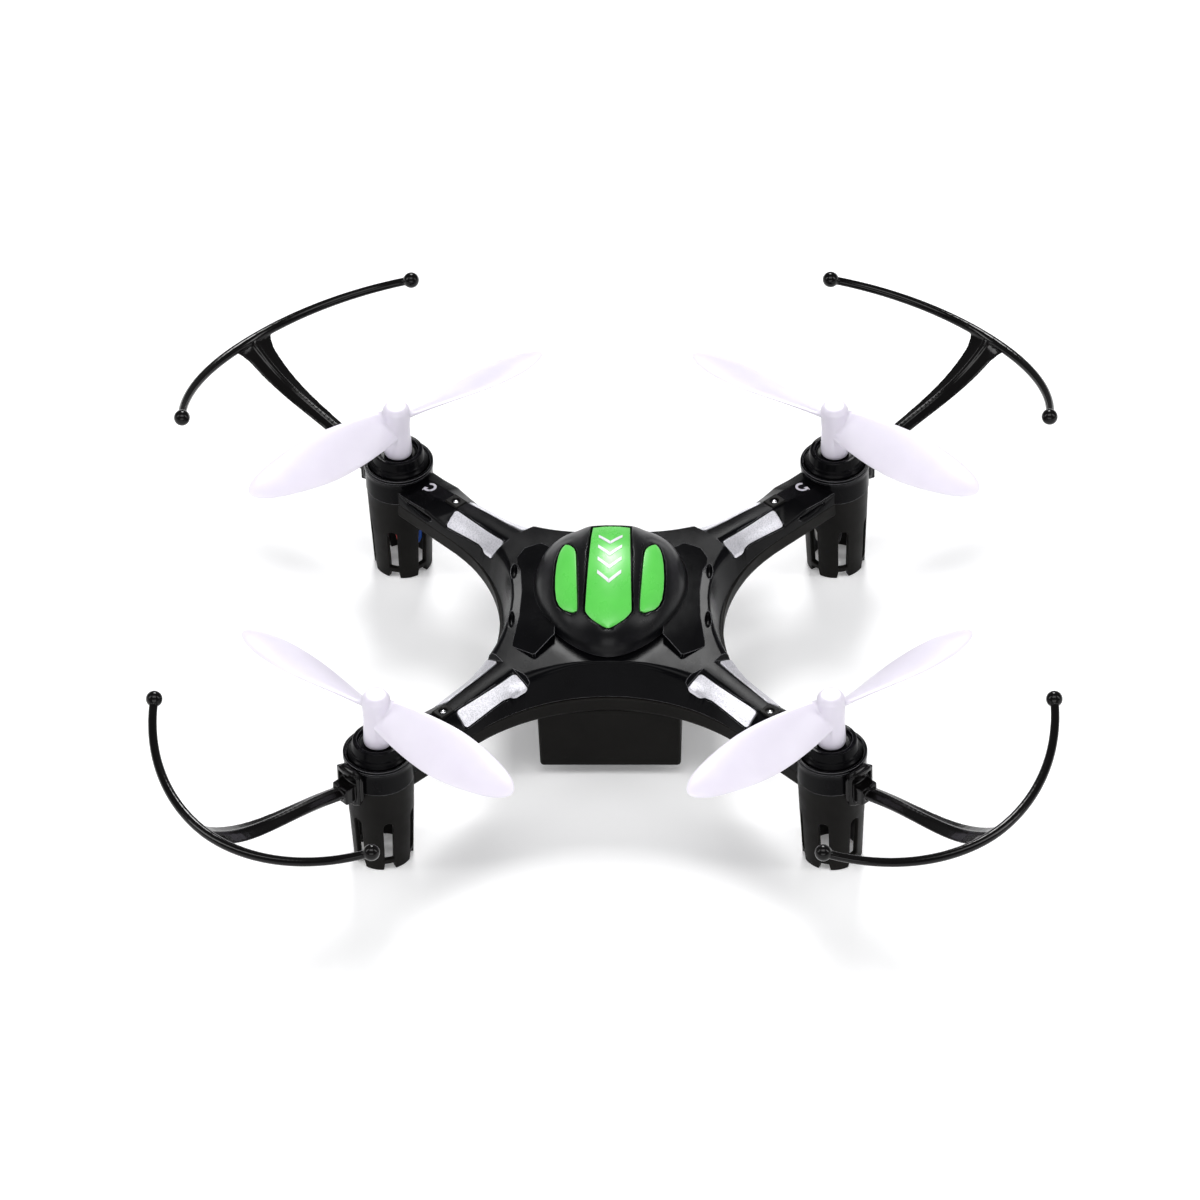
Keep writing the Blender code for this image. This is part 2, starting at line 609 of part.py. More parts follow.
def make_guard(corner, look):
    """A guard in its own frame: the motor axis at the origin and +X pointing outward."""
    bow = bmesh.new()
    rise = BOW_REACH - BOW_END_REACH
    radius = (BOW_END_SIDE ** 2 + rise ** 2) / (2 * rise)
    span = math.asin(BOW_END_SIDE / radius)
    steps = 14
    rings = []
    for k in range(steps + 1):
        share = 2 * k / steps - 1
        spoke = Vector((math.cos(share * span), math.sin(share * span), 0))
        middle = Vector((BOW_REACH - radius, 0, BOW_LOW + (BOW_HIGH - BOW_LOW) * abs(share) ** 1.8))
        rings.append([middle + spoke * (radius + BOW_THICK * math.cos(t))
                      + Vector((0, 0, BOW_THICK * math.sin(t)))
                      for t in (math.pi / 4 * (i + 0.5) for i in range(8))])
    loft(bow, rings)
    guard = add(f"prop_guard_{corner}", mesh_of(bow, f"prop_guard_{corner}", 50), look,
                motor_place(corner), outward(corner))
    balls = bmesh.new()
    for side in (-1, 1):
        place = Vector((BOW_END_REACH, side * BOW_END_SIDE, BOW_HIGH))
        bmesh.ops.create_uvsphere(balls, u_segments=10, v_segments=6, radius=BALL_RADIUS,
                                  matrix=Matrix.Translation(place))
    strut = bmesh.new()
    rings = []
    root = CLIP_OUTER - 0.7 * MM
    for k in range(10):
        share = k / 9
        reach = root + share * (BOW_REACH - root)
        rise = strut_height(min(1, share + 0.02)) - strut_height(max(0, share - 0.02))
        run = 0.04 * (BOW_REACH - root) * (0.5 if share in (0, 1) else 1)
        up = Vector((-rise, 0, run)).normalized()
        width = (2.6 + 3.0 * share ** 2.5) * MM
        thick = (2.2 - 1.1 * share) * MM
        middle = Vector((reach, 0, strut_height(share)))
        rings.append([middle + Vector((0, y * width, 0)) + up * z * thick
                      for y, z in ((-0.5, 0), (-0.14, 0.5), (0.14, 0.5), (0.5, 0), (0.3, -0.5), (-0.3, -0.5))])
    loft(strut, rings)
    clip = bmesh.new()
    rings = []
    for k in range(7):
        share = k / 3 - 1
        angle = share * CLIP_HALF_ANGLE
        trim = 1.4 * abs(share) ** 3 * MM
        rings.append([Vector((r * math.cos(angle), r * math.sin(angle), z))
                      for r, z in ((CLIP_INNER, 13 * MM + trim), (CLIP_OUTER, 13 * MM + trim),
                                   (CLIP_OUTER, 20.6 * MM - trim), (CLIP_INNER, 20.6 * MM - trim))])
    loft(clip, rings)
    for tool in (balls, strut, clip):
        shape_with(guard, tool, "UNION")
    for modifier in guard.modifiers:
        modifier.object.parent = guard


# Electronics, wiring and fasteners

def block(name, low, high, look, bevel=0.2):
    thing = add(name, mesh_of(boxed((low, high)), name), look)
    rounding = thing.modifiers.new("rounding", "BEVEL")
    rounding.width = bevel * MM
    rounding.segments = 2
    return thing


def make_electronics(looks):
    block("circuit_board", (-12, -11, 15.2), (12, 11, 16.2), looks["board"])
    block("flight_chip", (-2.6, -1.6, 16.5), (2.6, 3.6, 17.4), looks["chip"], 0.1)
    block("radio_chip", (-2, 5.6, 16.5), (2, 9.2, 17.3), looks["chip"], 0.1)
    block("battery_cell", (-8.7, -11, 3.5), (8.7, 15.8, 10.7), looks["foil"], 0.8)
    block("battery_plug", (-2, -14, 6.1), (2, -11.3, 8.1), looks["ivory"], 0.1)
    socket = block("battery_socket", (-3, -15.5, 5), (3, -11.6, 9.2), looks["ivory"], 0.1)
    shape_with(socket, boxed(((-2.4, -14.3, 5.8), (2.4, -10, 8.4))), "DIFFERENCE")


def make_motor_wires(looks):
    """Two leads from each motor: out of its end cap, up beside the can and along the arm to the board."""
    route = ((47.38, 8.1), (46.9, 6.9), (45.4, 6.6), (44.15, 8.3), (44, 13.4), (43.5, 14.6),
             (42, 15), (16.5, 14.5), (13.6, 14.9))
    pairs = {"front_left": ("black", "white"), "front_right": ("blue", "red"),
             "rear_left": ("blue", "red"), "rear_right": ("black", "white")}
    for corner, colours in pairs.items():
        for side, colour in zip((-1, 1), colours):
            points = [on_arm(corner, along * MM, side * 0.95 * MM, z * MM) for along, z in route]
            wire(f"motor_wire_{colour}_{corner}", points, looks[colour], steps=2)


def make_battery_leads(looks):
    """Two leads from the battery socket, up through the slot in the bay's roof to the board."""
    route = ((-13.4, 9.5), (-13.4, 12.6), (-12.6, 14.1), (-10.9, 14.4), (-10.3, 14.9))
    for side, colour in ((-1, "red"), (1, "black")):
        points = [Vector((side * 1.0 * MM, y * MM, z * MM)) for y, z in route]
        wire(f"battery_lead_{colour}", points, looks[colour], steps=3)


def make_screws(look):
    """Pan-head screws that come up through the lower shell into the upper shell's posts."""
    head = FLOOR_Z - GAP
    profile = [(0, head - 0.9 * MM), (0.9 * MM, head - 0.9 * MM), (1.2 * MM, head - 0.5 * MM), (1.2 * MM, head),
               (0.5 * MM, head), (0.5 * MM, 18.8 * MM), (0, 19.1 * MM)]
    screw = mesh_of(lathed(profile, 12), "shell_screw")
    for corner, (x, y) in SCREW_PLACES.items():
        add(f"shell_screw_{corner}", screw, look, (x * MM, y * MM, 0))


def main():
    for thing in list(bpy.data.objects):
        bpy.data.objects.remove(thing)
    looks = {
        "gloss": material("gloss_black", (0.006, 0.006, 0.009), 0.2),
        "dome": material("canopy_black", (0.005, 0.005, 0.008), 0.18),
        "matt": material("matt_black", (0.010, 0.010, 0.009), 0.45),
        "guard": material("guard_black", (0.008, 0.008, 0.009), 0.35),
        "green": material("green_plastic", (0.12, 0.62, 0.12), 0.35),
        "silver": material("silver_white", (0.80, 0.79, 0.84), 0.35),
        "white_blade": material("propeller_white", (0.88, 0.85, 0.93), 0.4),
        "steel": material("motor_steel", (0.55, 0.53, 0.50), 0.3, 1.0),
        "bright": material("shaft_steel", (0.75, 0.75, 0.76), 0.2, 1.0),
        "screw": material("screw_steel", (0.35, 0.35, 0.36), 0.35, 1.0),
        "ivory": material("ivory_plastic", (0.78, 0.76, 0.70), 0.45),
        "board": material("board_green", (0.01, 0.10, 0.03), 0.4),
        "chip": material("chip_black", (0.015, 0.015, 0.016), 0.5),
        "foil": material("battery_foil", (0.50, 0.51, 0.53), 0.35, 0.6),
        "blue": material("wire_blue", (0.02, 0.08, 0.55), 0.4),
        "red": material("wire_red", (0.55, 0.02, 0.02), 0.4),
        "white": material("wire_white", (0.80, 0.80, 0.80), 0.4),
        "black": material("wire_black", (0.02, 0.02, 0.02), 0.4),
    }
    make_top_shell(looks["gloss"])
    make_bottom_shell(looks["matt"])
    make_arm_inlays(looks["silver"])
    make_canopy(looks["dome"], looks["green"])
    make_motors(looks)
    make_propellers(looks["white_blade"])
    for corner in CORNERS:
        make_guard(corner, looks["guard"])
    make_electronics(looks)
    make_motor_wires(looks)
    make_battery_leads(looks)
    make_screws(looks["screw"])


main()
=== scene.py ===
import json
from math import asin, atan2, copysign, cos, hypot, pi, radians, sin, sqrt

import bmesh
import bpy
from mathutils import Matrix, Vector
from mathutils.geometry import interpolate_bezier


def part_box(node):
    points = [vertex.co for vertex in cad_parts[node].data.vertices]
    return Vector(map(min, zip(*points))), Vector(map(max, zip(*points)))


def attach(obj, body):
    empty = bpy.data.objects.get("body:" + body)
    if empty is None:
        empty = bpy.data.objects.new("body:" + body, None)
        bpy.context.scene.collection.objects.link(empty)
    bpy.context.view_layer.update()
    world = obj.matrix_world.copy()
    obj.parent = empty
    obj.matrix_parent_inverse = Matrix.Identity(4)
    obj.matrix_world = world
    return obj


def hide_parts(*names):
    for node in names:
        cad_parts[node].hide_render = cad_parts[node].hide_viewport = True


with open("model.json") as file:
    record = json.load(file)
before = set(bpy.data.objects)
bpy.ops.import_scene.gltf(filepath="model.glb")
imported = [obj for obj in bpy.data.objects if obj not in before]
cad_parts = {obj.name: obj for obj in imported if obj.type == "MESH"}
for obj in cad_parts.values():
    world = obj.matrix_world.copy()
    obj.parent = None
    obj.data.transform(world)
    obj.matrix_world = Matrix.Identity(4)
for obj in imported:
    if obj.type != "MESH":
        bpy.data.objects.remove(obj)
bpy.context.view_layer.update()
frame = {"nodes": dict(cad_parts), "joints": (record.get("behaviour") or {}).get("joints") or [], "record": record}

MM = 0.001
GAP = 0.3
ROOT2 = sqrt(2)


def box_of(node):
    """Lowest and highest corners of a CAD node, in millimetres."""
    low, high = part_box(node)
    return low / MM, high / MM


def heights_of(node):
    """Lowest and highest heights of the front right corner's node of a kind."""
    return (corner.z for corner in box_of(f"{node}_front_right"))


# Layout, read from the frame
MOTORS = {joint["child"].removeprefix("rotor_"): Vector(joint["pos_m"]) / MM
          for joint in frame["joints"] if joint["child"].startswith("rotor_")}
CORNERS = {corner: (copysign(1, place.x), copysign(1, place.y)) for corner, place in MOTORS.items()}
MOTOR_REACH = MOTORS["front_right"].xy.length
BLADE_Z = MOTORS["front_right"].z
PARTING_Z = (box_of("top_shell")[0].z + box_of("bottom_shell")[1].z) / 2
SEAM = 0.01
CANOPY_LOW, CANOPY_HIGH = box_of("canopy")
ROOF_Z = CANOPY_LOW.z - GAP
CAN_LOW, CAN_HIGH = heights_of("motor_can")
CAP_LOW, _ = heights_of("motor_end_cap")
SHAFT_LOW, SHAFT_HIGH = heights_of("motor_shaft")
HUB_LOW, HUB_HIGH = heights_of("propeller")
COLLAR_LOW, COLLAR_HIGH = heights_of("motor_collar")
CELL_LOW, CELL_HIGH = box_of("battery_cell")
PLUG_LOW, PLUG_HIGH = box_of("battery_plug")
SCREW_LOW, SCREW_HIGH = heights_of("shell_screw")

# X-shaped shells: arms of a half width, joined by round fillets to a waist
ARM_HALF = 3.65
RIM_WAIST = 16.9
SPLIT_WAIST = 16.45
SHOULDER_WAIST = 15.0
RIDGE_HALF = 1.2
SOFT_EDGE = 0.5
WALL = 1.2
BELLY_Z = 12.9
ROOF_FALL = 0.089
ROOF_FLAT_REACH = 14
INLAY_START = 21.2
INLAY_END = 33.0
DECK_START = 37.8

# Distances along an arm where the shells' sections are taken
STATIONS = [0, *(12.3 + 0.7 * k for k in range(12)), 20.9, INLAY_START, 21.7, 22.4,
            *(23.2 + 0.8 * k for k in range(6)), 28.6, 31, 33.2, 35.5, 37.5, DECK_START, 39.5, 41]

# Motor pods
POD_RADIUS = 5.2
POD_FOOT_RADIUS = 4.45
POD_BORE = 4.15
POD_RIM_Z = 20.1
LEDGE_RADIUS = 4.9
LEDGE_Z = 19.6
TAPER_TOP_Z = 17.5
SLOT_ANGLE = radians(9.2)
SLOT_LOW = 2.0
SLOT_HIGH = 9.4
NOTCH_HIGH = 1.2
PASSAGE_LOW = 13.8

# Canopy
CANOPY_HEIGHT = CANOPY_HIGH.z - CANOPY_LOW.z
CANOPY_HALF = CANOPY_HIGH.x
CANOPY_CENTRE = 1.5
CANOPY_NOSE = CANOPY_CENTRE - CANOPY_LOW.y
CANOPY_TAIL = CANOPY_HIGH.y - CANOPY_CENTRE
CANOPY_WALL = 1.6

# Propellers and guards
BLADE_REACH = 27.5
BLADE_CHORD = 8.4
BLADE_ANGLES = {"front_left": -41.5, "front_right": 41.5, "rear_left": 38.5, "rear_right": -37.5}
BOW_END_REACH = 22.6
BOW_END_SIDE = 23.8
BOW_REACH = 33.6
BOW_LOW = 24.7
BOW_HIGH = 29.3
CLIP_INNER = POD_RADIUS + GAP
CLIP_LOW = 13.7
CLIP_HIGH = 20.1
CLIP_OUTER = 6.7
CLIP_HALF_ANGLE = radians(24)


# Materials

class Look:
    """A material and its nodes. Lengths are in millimetres."""

    def __init__(self, name):
        self.material = bpy.data.materials.new(name)
        self.material.use_nodes = True
        tree = self.material.node_tree
        self.nodes, self.link = tree.nodes, tree.links.new
        self.shader = self.nodes["Principled BSDF"]

    def add(self, kind, sockets=None, **settings):
        """A new node with some of its settings and its sockets' values."""
        made = self.nodes.new("ShaderNode" + kind)
        for key, value in settings.items():
            setattr(made, key, value)
        for key, value in (sockets or {}).items():
            made.inputs[key].default_value = value
        return made

    def feed(self, **sources):
        """Link sources to the shader's sockets; an underscore stands for a space."""
        for socket, source in sources.items():
            self.link(source, self.shader.inputs[socket.replace("_", " ")])

    def fix(self, **values):
        """Set the shader's own sockets."""
        for socket, value in values.items():
            self.shader.inputs[socket.replace("_", " ")].default_value = value

    def noise(self, scale, detail=2.0, rough=0.5, stretch=(1, 1, 1)):
        """Noise in the object's own metres; scale is in features per millimetre."""
        mapping = self.add("Mapping", {"Scale": [scale / MM * s for s in stretch]})
        texture = self.add("TexNoise", {"Scale": 1.0, "Detail": detail, "Roughness": rough})
        self.link(self.add("TexCoord").outputs["Object"], mapping.inputs["Vector"])
        self.link(mapping.outputs["Vector"], texture.inputs["Vector"])
        return texture.outputs["Fac"]

    def ramp(self, source, *stops):
        """Map a 0 to 1 value through (position, colour) stops. A number stands for a grey."""
        made = self.add("ValToRGB")
        for element, (position, colour) in zip(made.color_ramp.elements, stops):
            element.position = position
            element.color = (*colour, 1) if isinstance(colour, tuple) else (colour, colour, colour, 1)
        self.link(source, made.inputs["Fac"])
        return made.outputs["Color"]

    def bump(self, source, depth, under=None):
        """Raise the surface by a height map."""
        made = self.add("Bump", {"Strength": 1.0, "Distance": depth * MM})
        self.link(source, made.inputs["Height"])
        if under:
            self.link(under, made.inputs["Normal"])
        return made.outputs["Normal"]

    def worn(self, normal, colour, wear):
        """Lighten a colour along edges, where the rounded normal leaves the true one: partly rubbed wear, partly a
        painted edge highlight.
        """
        dot = self.add("VectorMath", operation="DOT_PRODUCT")
        self.link(normal, dot.inputs[0])
        self.link(self.add("NewGeometry").outputs["Normal"], dot.inputs[1])
        # How far the edge takes the light colour: partly rubbing, partly a painted highlight on the rounded edges
        rubbed_and_lit = self.add("Math", {1: 0.06}, operation="MULTIPLY_ADD")
        self.link(self.noise(0.6, 3.0, 0.6), rubbed_and_lit.inputs[0])
        self.link(dot.outputs["Value"], rubbed_and_lit.inputs[2])
        mix = self.add("Mix", {7: (*wear, 1)}, data_type="RGBA")
        self.link(self.ramp(rubbed_and_lit.outputs[0], (0.93, 1.0), (1.0, 0.0)), mix.inputs[0])
        self.link(colour, mix.inputs[6])
        return mix.outputs[2]


def plastic(name, dark, light, roughness, grain, depth, edge=0.0, shine=0.5, soft=0.0, wear=None):
    """Moulded plastic: cloudy colour, uneven gloss, a moulded grain and slightly rounded edges, lightened both as
    rubbed wear and as a painted highlight.
    """
    look = Look(name)
    colour = look.ramp(look.noise(0.11, 3.0, 0.6), (0.3, dark), (0.7, light))
    smears = look.noise(0.32, 4.0, 0.65, (1, 0.55, 1))
    under = None
    if edge:
        corner = look.add("Bevel", {"Radius": edge * MM})
        corner.samples = 4
        under = corner.outputs["Normal"]
    # Lighter rounded edges: rubbed wear and a painted edge highlight
    if wear:
        colour = look.worn(under, colour, wear)
    fine = look.bump(look.noise(grain), depth, under)
    look.feed(Base_Color=colour, Roughness=look.ramp(smears, (0.3, roughness[0]), (0.72, roughness[1])),
              Normal=look.bump(look.noise(0.22, 1.0), 0.012, fine))
    look.fix(Specular_IOR_Level=shine)
    if soft:
        look.fix(Subsurface_Weight=soft, Subsurface_Scale=0.6 * MM, Subsurface_Radius=(1.0, 0.9, 1.0))
    return look.material


def metal(name, dark, light, roughness, stretch, depth=0.01):
    """Drawn or turned metal: fine lines along one direction."""
    look = Look(name)
    lines = look.noise(1.0, 3.0, 0.6, stretch)
    look.feed(Base_Color=look.ramp(lines, (0.3, dark), (0.7, light)),
              Roughness=look.ramp(lines, (0.3, roughness[0]), (0.7, roughness[1])),
              Normal=look.bump(lines, depth))
    look.fix(Metallic=1.0)
    return look.material


def silver_paint():
    """Satin silver-white coating with fine flakes."""
    look = Look("inlay_silver")
    flakes = look.noise(5.0, 1.0)
    mix = look.add("Mix", {0: 1.0}, data_type="RGBA", blend_type="MULTIPLY")
    look.link(look.ramp(flakes, (0.35, (0.58, 0.58, 0.62)), (0.6, (0.80, 0.79, 0.84))), mix.inputs[6])
    look.link(look.ramp(look.noise(0.25), (0.3, 0.86), (0.7, 1.0)), mix.inputs[7])
    look.feed(Base_Color=mix.outputs[2], Roughness=look.ramp(flakes, (0.3, 0.42), (0.7, 0.28)),
              Normal=look.bump(flakes, 0.012))
    look.fix(Metallic=0.6)
    return look.material


def circuit():
    """Solder resist over copper tracks."""
    look = Look("board_green")
    brick = look.add("TexBrick", {"Scale": 0.55 / MM, "Color1": (0.010, 0.10, 0.030, 1), "Mortar Size": 0.03,
                                  "Color2": (0.012, 0.13, 0.040, 1), "Mortar": (0.05, 0.28, 0.08, 1)})
    look.link(look.add("TexCoord").outputs["Object"], brick.inputs["Vector"])
    look.feed(Base_Color=brick.outputs["Color"], Normal=look.bump(brick.outputs["Fac"], 0.03))
    look.fix(Roughness=0.32)
    return look.material


# Dark and light colour, smooth and rough gloss, grain's scale and depth, and what only some looks have
PLASTICS = {
    # The edge colour lightens rounded edges: rubbed wear, and a painted edge highlight, strongest on the gloss
    # black
    "gloss_black": ((0.0014, 0.0014, 0.0018), (0.0026, 0.0026, 0.0032), (0.17, 0.26), 2.2, 0.002,
                    {"edge": 0.16, "shine": 0.055, "wear": (0.18, 0.18, 0.19)}),
    "canopy_black": ((0.0022, 0.0022, 0.0028), (0.0038, 0.0038, 0.0046), (0.26, 0.36), 2.2, 0.002,
                     {"edge": 0.12, "shine": 0.17, "wear": (0.05, 0.05, 0.055)}),
    "matt_black": ((0.0040, 0.0037, 0.0033), (0.0064, 0.0059, 0.0052), (0.40, 0.54), 4.5, 0.012,
                   {"edge": 0.12, "shine": 0.07, "wear": (0.03, 0.028, 0.026)}),
    "guard_black": ((0.0016, 0.0014, 0.0015), (0.0032, 0.0028, 0.0029), (0.09, 0.17), 3.5, 0.004,
                    {"shine": 0.2}),
    "inlay_green": ((0.085, 0.53, 0.068), (0.115, 0.60, 0.090), (0.24, 0.34), 3.0, 0.002,
                    {"edge": 0.14, "soft": 0.1, "wear": (0.30, 0.78, 0.27)}),
    "propeller_white": ((0.71, 0.675, 0.765), (0.755, 0.72, 0.81), (0.30, 0.42), 2.5, 0.003, {"soft": 0.25}),
    "ivory_plastic": ((0.70, 0.67, 0.58), (0.78, 0.75, 0.67), (0.35, 0.5), 4.0, 0.006, {"soft": 0.1}),
    "chip_black": ((0.010, 0.010, 0.011), (0.022, 0.022, 0.022), (0.45, 0.6), 9.0, 0.006, {}),
}

# Dark and light colour of each wire's coating
WIRES = {
    "wire_blue": ((0.010, 0.10, 0.55), (0.014, 0.14, 0.68)),
    "wire_red": ((0.50, 0.012, 0.010), (0.62, 0.020, 0.016)),
    "wire_white": ((0.74, 0.73, 0.70), (0.84, 0.83, 0.80)),
    "wire_black": ((0.012, 0.012, 0.013), (0.022, 0.022, 0.023)),
}

# Dark and light colour, smooth and rough gloss, the lines' scale along each axis, and their depth
METALS = {
    "motor_steel": ((0.26, 0.23, 0.20), (0.40, 0.36, 0.32), (0.22, 0.38), (2, 2, 0.4), 0.004),
    "shaft_steel": ((0.66, 0.66, 0.67), (0.82, 0.82, 0.83), (0.12, 0.25), (1, 1, 9)),
    "screw_steel": ((0.26, 0.26, 0.27), (0.40, 0.40, 0.42), (0.25, 0.42), (6, 6, 1)),
    "battery_foil": ((0.48, 0.49, 0.52), (0.62, 0.63, 0.66), (0.26, 0.44), (0.7, 0.35, 0.7), 0.05),
}


def make_looks():
    """One look for each material slot of the record."""
    looks = {name: plastic(name, *values, **extras) for name, (*values, extras) in PLASTICS.items()}
    looks |= {name: plastic(name, *shades, (0.3, 0.42), 3.0, 0.004) for name, shades in WIRES.items()}
    looks |= {name: metal(name, *values) for name, values in METALS.items()}
    return looks | {"inlay_silver": silver_paint(), "board_green": circuit()}


# Building helpers

def mesh_of(bm, smooth=35):
    """Turn a millimetre bmesh into a mesh with its faces out, shaded smooth except at edges over an angle."""
    bmesh.ops.remove_doubles(bm, verts=bm.verts, dist=1e-3)
    bmesh.ops.recalc_face_normals(bm, faces=bm.faces)
    bmesh.ops.scale(bm, vec=(MM, MM, MM), verts=bm.verts)
    mesh = bpy.data.meshes.new("shape")
    bm.to_mesh(mesh)
    bm.free()
    mesh.shade_smooth()
    mesh.set_sharp_from_angle(angle=radians(smooth))
    return mesh


def show(name, data):
    """A new object in the scene."""
    thing = bpy.data.objects.new(name, data)
    bpy.context.scene.collection.objects.link(thing)
    return thing


def modify(thing, kind, **settings):
    """Add a modifier with some of its settings."""
    modifier = thing.modifiers.new(kind.lower(), kind)
    for key, value in settings.items():
        setattr(modifier, key, value)


def finished(bm, joins=(), cuts=(), voxel=0.0, bevel=0.0, smooth=35):
    """A mesh after Booleans, then either a voxel remesh or rounded edges. Lengths are in millimetres."""
    thing = show("shape", mesh_of(bm, smooth))
    tools = []
    for operation, shapes in (("UNION", joins), ("DIFFERENCE", cuts)):
        for shape in shapes:
            tools.append(show("tool", mesh_of(shape)))
            modify(thing, "BOOLEAN", operation=operation, solver="EXACT", object=tools[-1])
    if voxel:
        modify(thing, "REMESH", mode="VOXEL", voxel_size=voxel * MM, use_smooth_shade=True)
        modify(thing, "SMOOTH", factor=0.5, iterations=6)
    if bevel:
        modify(thing, "BEVEL", width=bevel * MM, segments=3, limit_method="ANGLE", angle_limit=radians(38),
               use_clamp_overlap=True)
    if not voxel:
        modify(thing, "WEIGHTED_NORMAL", keep_sharp=True)
    bpy.context.view_layer.update()
    mesh = bpy.data.meshes.new_from_object(thing.evaluated_get(bpy.context.evaluated_depsgraph_get()))
    for tool in [thing, *tools]:
        bpy.data.objects.remove(tool)
    return mesh


def put(name, mesh, slot, body, *nodes, place=(0, 0, 0), turn=0.0):
    """Show a mesh as one piece of the object, riding on a body, in place of some CAD nodes."""
    if turn:
        mesh = mesh.copy()
        mesh.transform(Matrix.Rotation(turn, 4, "Z"))
    mesh.name = name
    thing = show(name, mesh)
    thing.location = Vector(place) * MM
    if slot not in mesh.materials:
        mesh.materials.clear()
        mesh.materials.append(LOOKS[slot])
    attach(thing, body)
    if nodes:
        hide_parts(*nodes)


def put_on_motors(*rows, turned=True):
    """Show (label, mesh, slot, body, node) rows on every motor's axis. A {} stands for the corner's name."""
    for corner, place in MOTORS.items():
        turn = outward(corner) if turned else 0.0
        for label, mesh, slot, *names in rows:
            put(f"{label}_{corner}", mesh, slot, *(name.format(corner) for name in names),
                place=(place.x, place.y, 0), turn=turn)


def skin(bm, low, high):
    """Faces between two matching rings of vertices."""
    for i in range(len(low)):
        j = (i + 1) % len(low)
        bm.faces.new((low[i], low[j], high[j], high[i]))


def loft(rings, bm=None):
    """Skin matching rings of points, with flat ends."""
    bm = bm or bmesh.new()
    rows = [[bm.verts.new(point) for point in ring] for ring in rings]
    for low, high in zip(rows, rows[1:]):
        skin(bm, low, high)
    bm.faces.new(rows[0])
    bm.faces.new(rows[-1])
    return bm


def lathe(profile, sides, centre=(0, 0), bm=None):
    """Turn a closed outline of (radius, height) points about a vertical line."""
    bm = bm or bmesh.new()
    spokes = [2 * pi * (i + 0.5) / sides for i in range(sides)]
    rows = [[bm.verts.new((centre[0] + r * cos(a), centre[1] + r * sin(a), z)) for a in spokes]
            for r, z in profile]
    for k, (low, high) in enumerate(zip(rows, rows[1:] + rows[:1])):
        if profile[k][0] or profile[(k + 1) % len(profile)][0]:
            skin(bm, low, high)
    bmesh.ops.remove_doubles(bm, verts=bm.verts, dist=1e-4)
    return bm


def corner_points(before, here, after, reach):
    """Three points that round the corner at here in a flat outline."""
    here = Vector(here)
    enter = here + (Vector(before) - here).normalized() * reach
    leave = here + (Vector(after) - here).normalized() * reach
    return [enter, (enter + 2 * here + leave) / 4, leave]


def softened(profile, radius):
    """Round the corners of a closed (radius, height) outline, except those on the axis."""
    points = [Vector(p) for p in profile]
    rounded = []
    for before, here, after in zip([points[-1], *points], points, [*points[1:], points[0]]):
        reach = min(radius, (here - before).length / 2.2, (after - here).length / 2.2)
        rounded += corner_points(before, here, after, reach) if here.x else [here]
    return [tuple(p) for p in rounded]


def block(low, high, bm=None):
    """A plain block between two corners."""
    bm = bm or bmesh.new()
    middle = [(a + b) / 2 for a, b in zip(low, high)]
    size = [b - a for a, b in zip(low, high)]
    bmesh.ops.create_cube(bm, size=1, matrix=Matrix.Translation(middle) @ Matrix.Diagonal((*size, 1)))
    return bm


def blob(place, radii, bm, sides=32):
    """An ellipsoid."""
    matrix = Matrix.Translation(place) @ Matrix.Diagonal((*radii, 1))
    bmesh.ops.create_uvsphere(bm, u_segments=sides, v_segments=sides // 2, radius=1, matrix=matrix)


def smooth_path(points, steps):
    """A smooth curve through the given points, with slopes that suit uneven spacing."""
    slopes = []
    for before, here, after in zip([points[0], *points], points, [*points[1:], points[-1]]):
        slopes.append((after - before) / ((here - before).length + (after - here).length))
    path = [points[0]]
    for a, b, leave, arrive in zip(points, points[1:], slopes, slopes[1:]):
        third = (b - a).length / 3
        path += interpolate_bezier(a, a + leave * third, b - arrive * third, b, steps + 1)[1:]
    return path


def tube(points, radius, sides=14):
    """Round tube along a path, with flat ends."""
    rings = []
    side = None
    for k, point in enumerate(points):
        ahead = (points[min(k + 1, len(points) - 1)] - points[max(k - 1, 0)]).normalized()
        if side is None:
            side = ahead.cross(Vector((0, 0, 1)) if abs(ahead.z) < 0.95 else Vector((1, 0, 0)))
        side = (side - ahead * side.dot(ahead)).normalized()
        up = side.cross(ahead)
        rings.append([point + (side * cos(t) + up * sin(t)) * radius
                      for t in (2 * pi * i / sides for i in range(sides))])
    return loft(rings)


def outward(corner):
    """Angle of the direction from the body's middle to this corner's motor."""
    side, end = CORNERS[corner]
    return atan2(end, side)


def on_arm(corner, along, across, z):
    """Place of a point given along and across a corner's arm."""
    angle = outward(corner)
    return Vector((along * cos(angle) - across * sin(angle),
                   along * sin(angle) + across * cos(angle), z))


# X-shaped outlines

def arm_edge(station, arm, waist):
    """Distance along and half width of an arm's edge, where a fillet joins it to the waist."""
    fillet = (waist - ROOT2 * arm) / (ROOT2 - 1)
    along = max(station, waist / ROOT2)
    inward = max(0.0, arm + fillet - along)
    return along, arm + fillet - sqrt(fillet ** 2 - inward ** 2)


def roof(along):
    """Height of the arms' ridge, level over the body and falling towards the motors."""
    return ROOF_Z - ROOF_FALL * max(0.0, along - ROOF_FLAT_REACH)


def between(value, stops):
    """Straight-line reading of a list of (place, value) stops."""
    value = max(value, stops[0][0])
    for (a, p), (b, q) in zip(stops, stops[1:]):
        if value <= b:
            return p + (q - p) * (value - a) / (b - a)
    return stops[-1][1]


def flank_drop(station):
    """How far an arm's shoulder lies under its ridge."""
    return between(station, [(INLAY_START, 1.5), (25, 2.0), (INLAY_END, 2.3), (34.5, 1.9),
                             (DECK_START - 1, 1.5), (DECK_START, 1.0)])


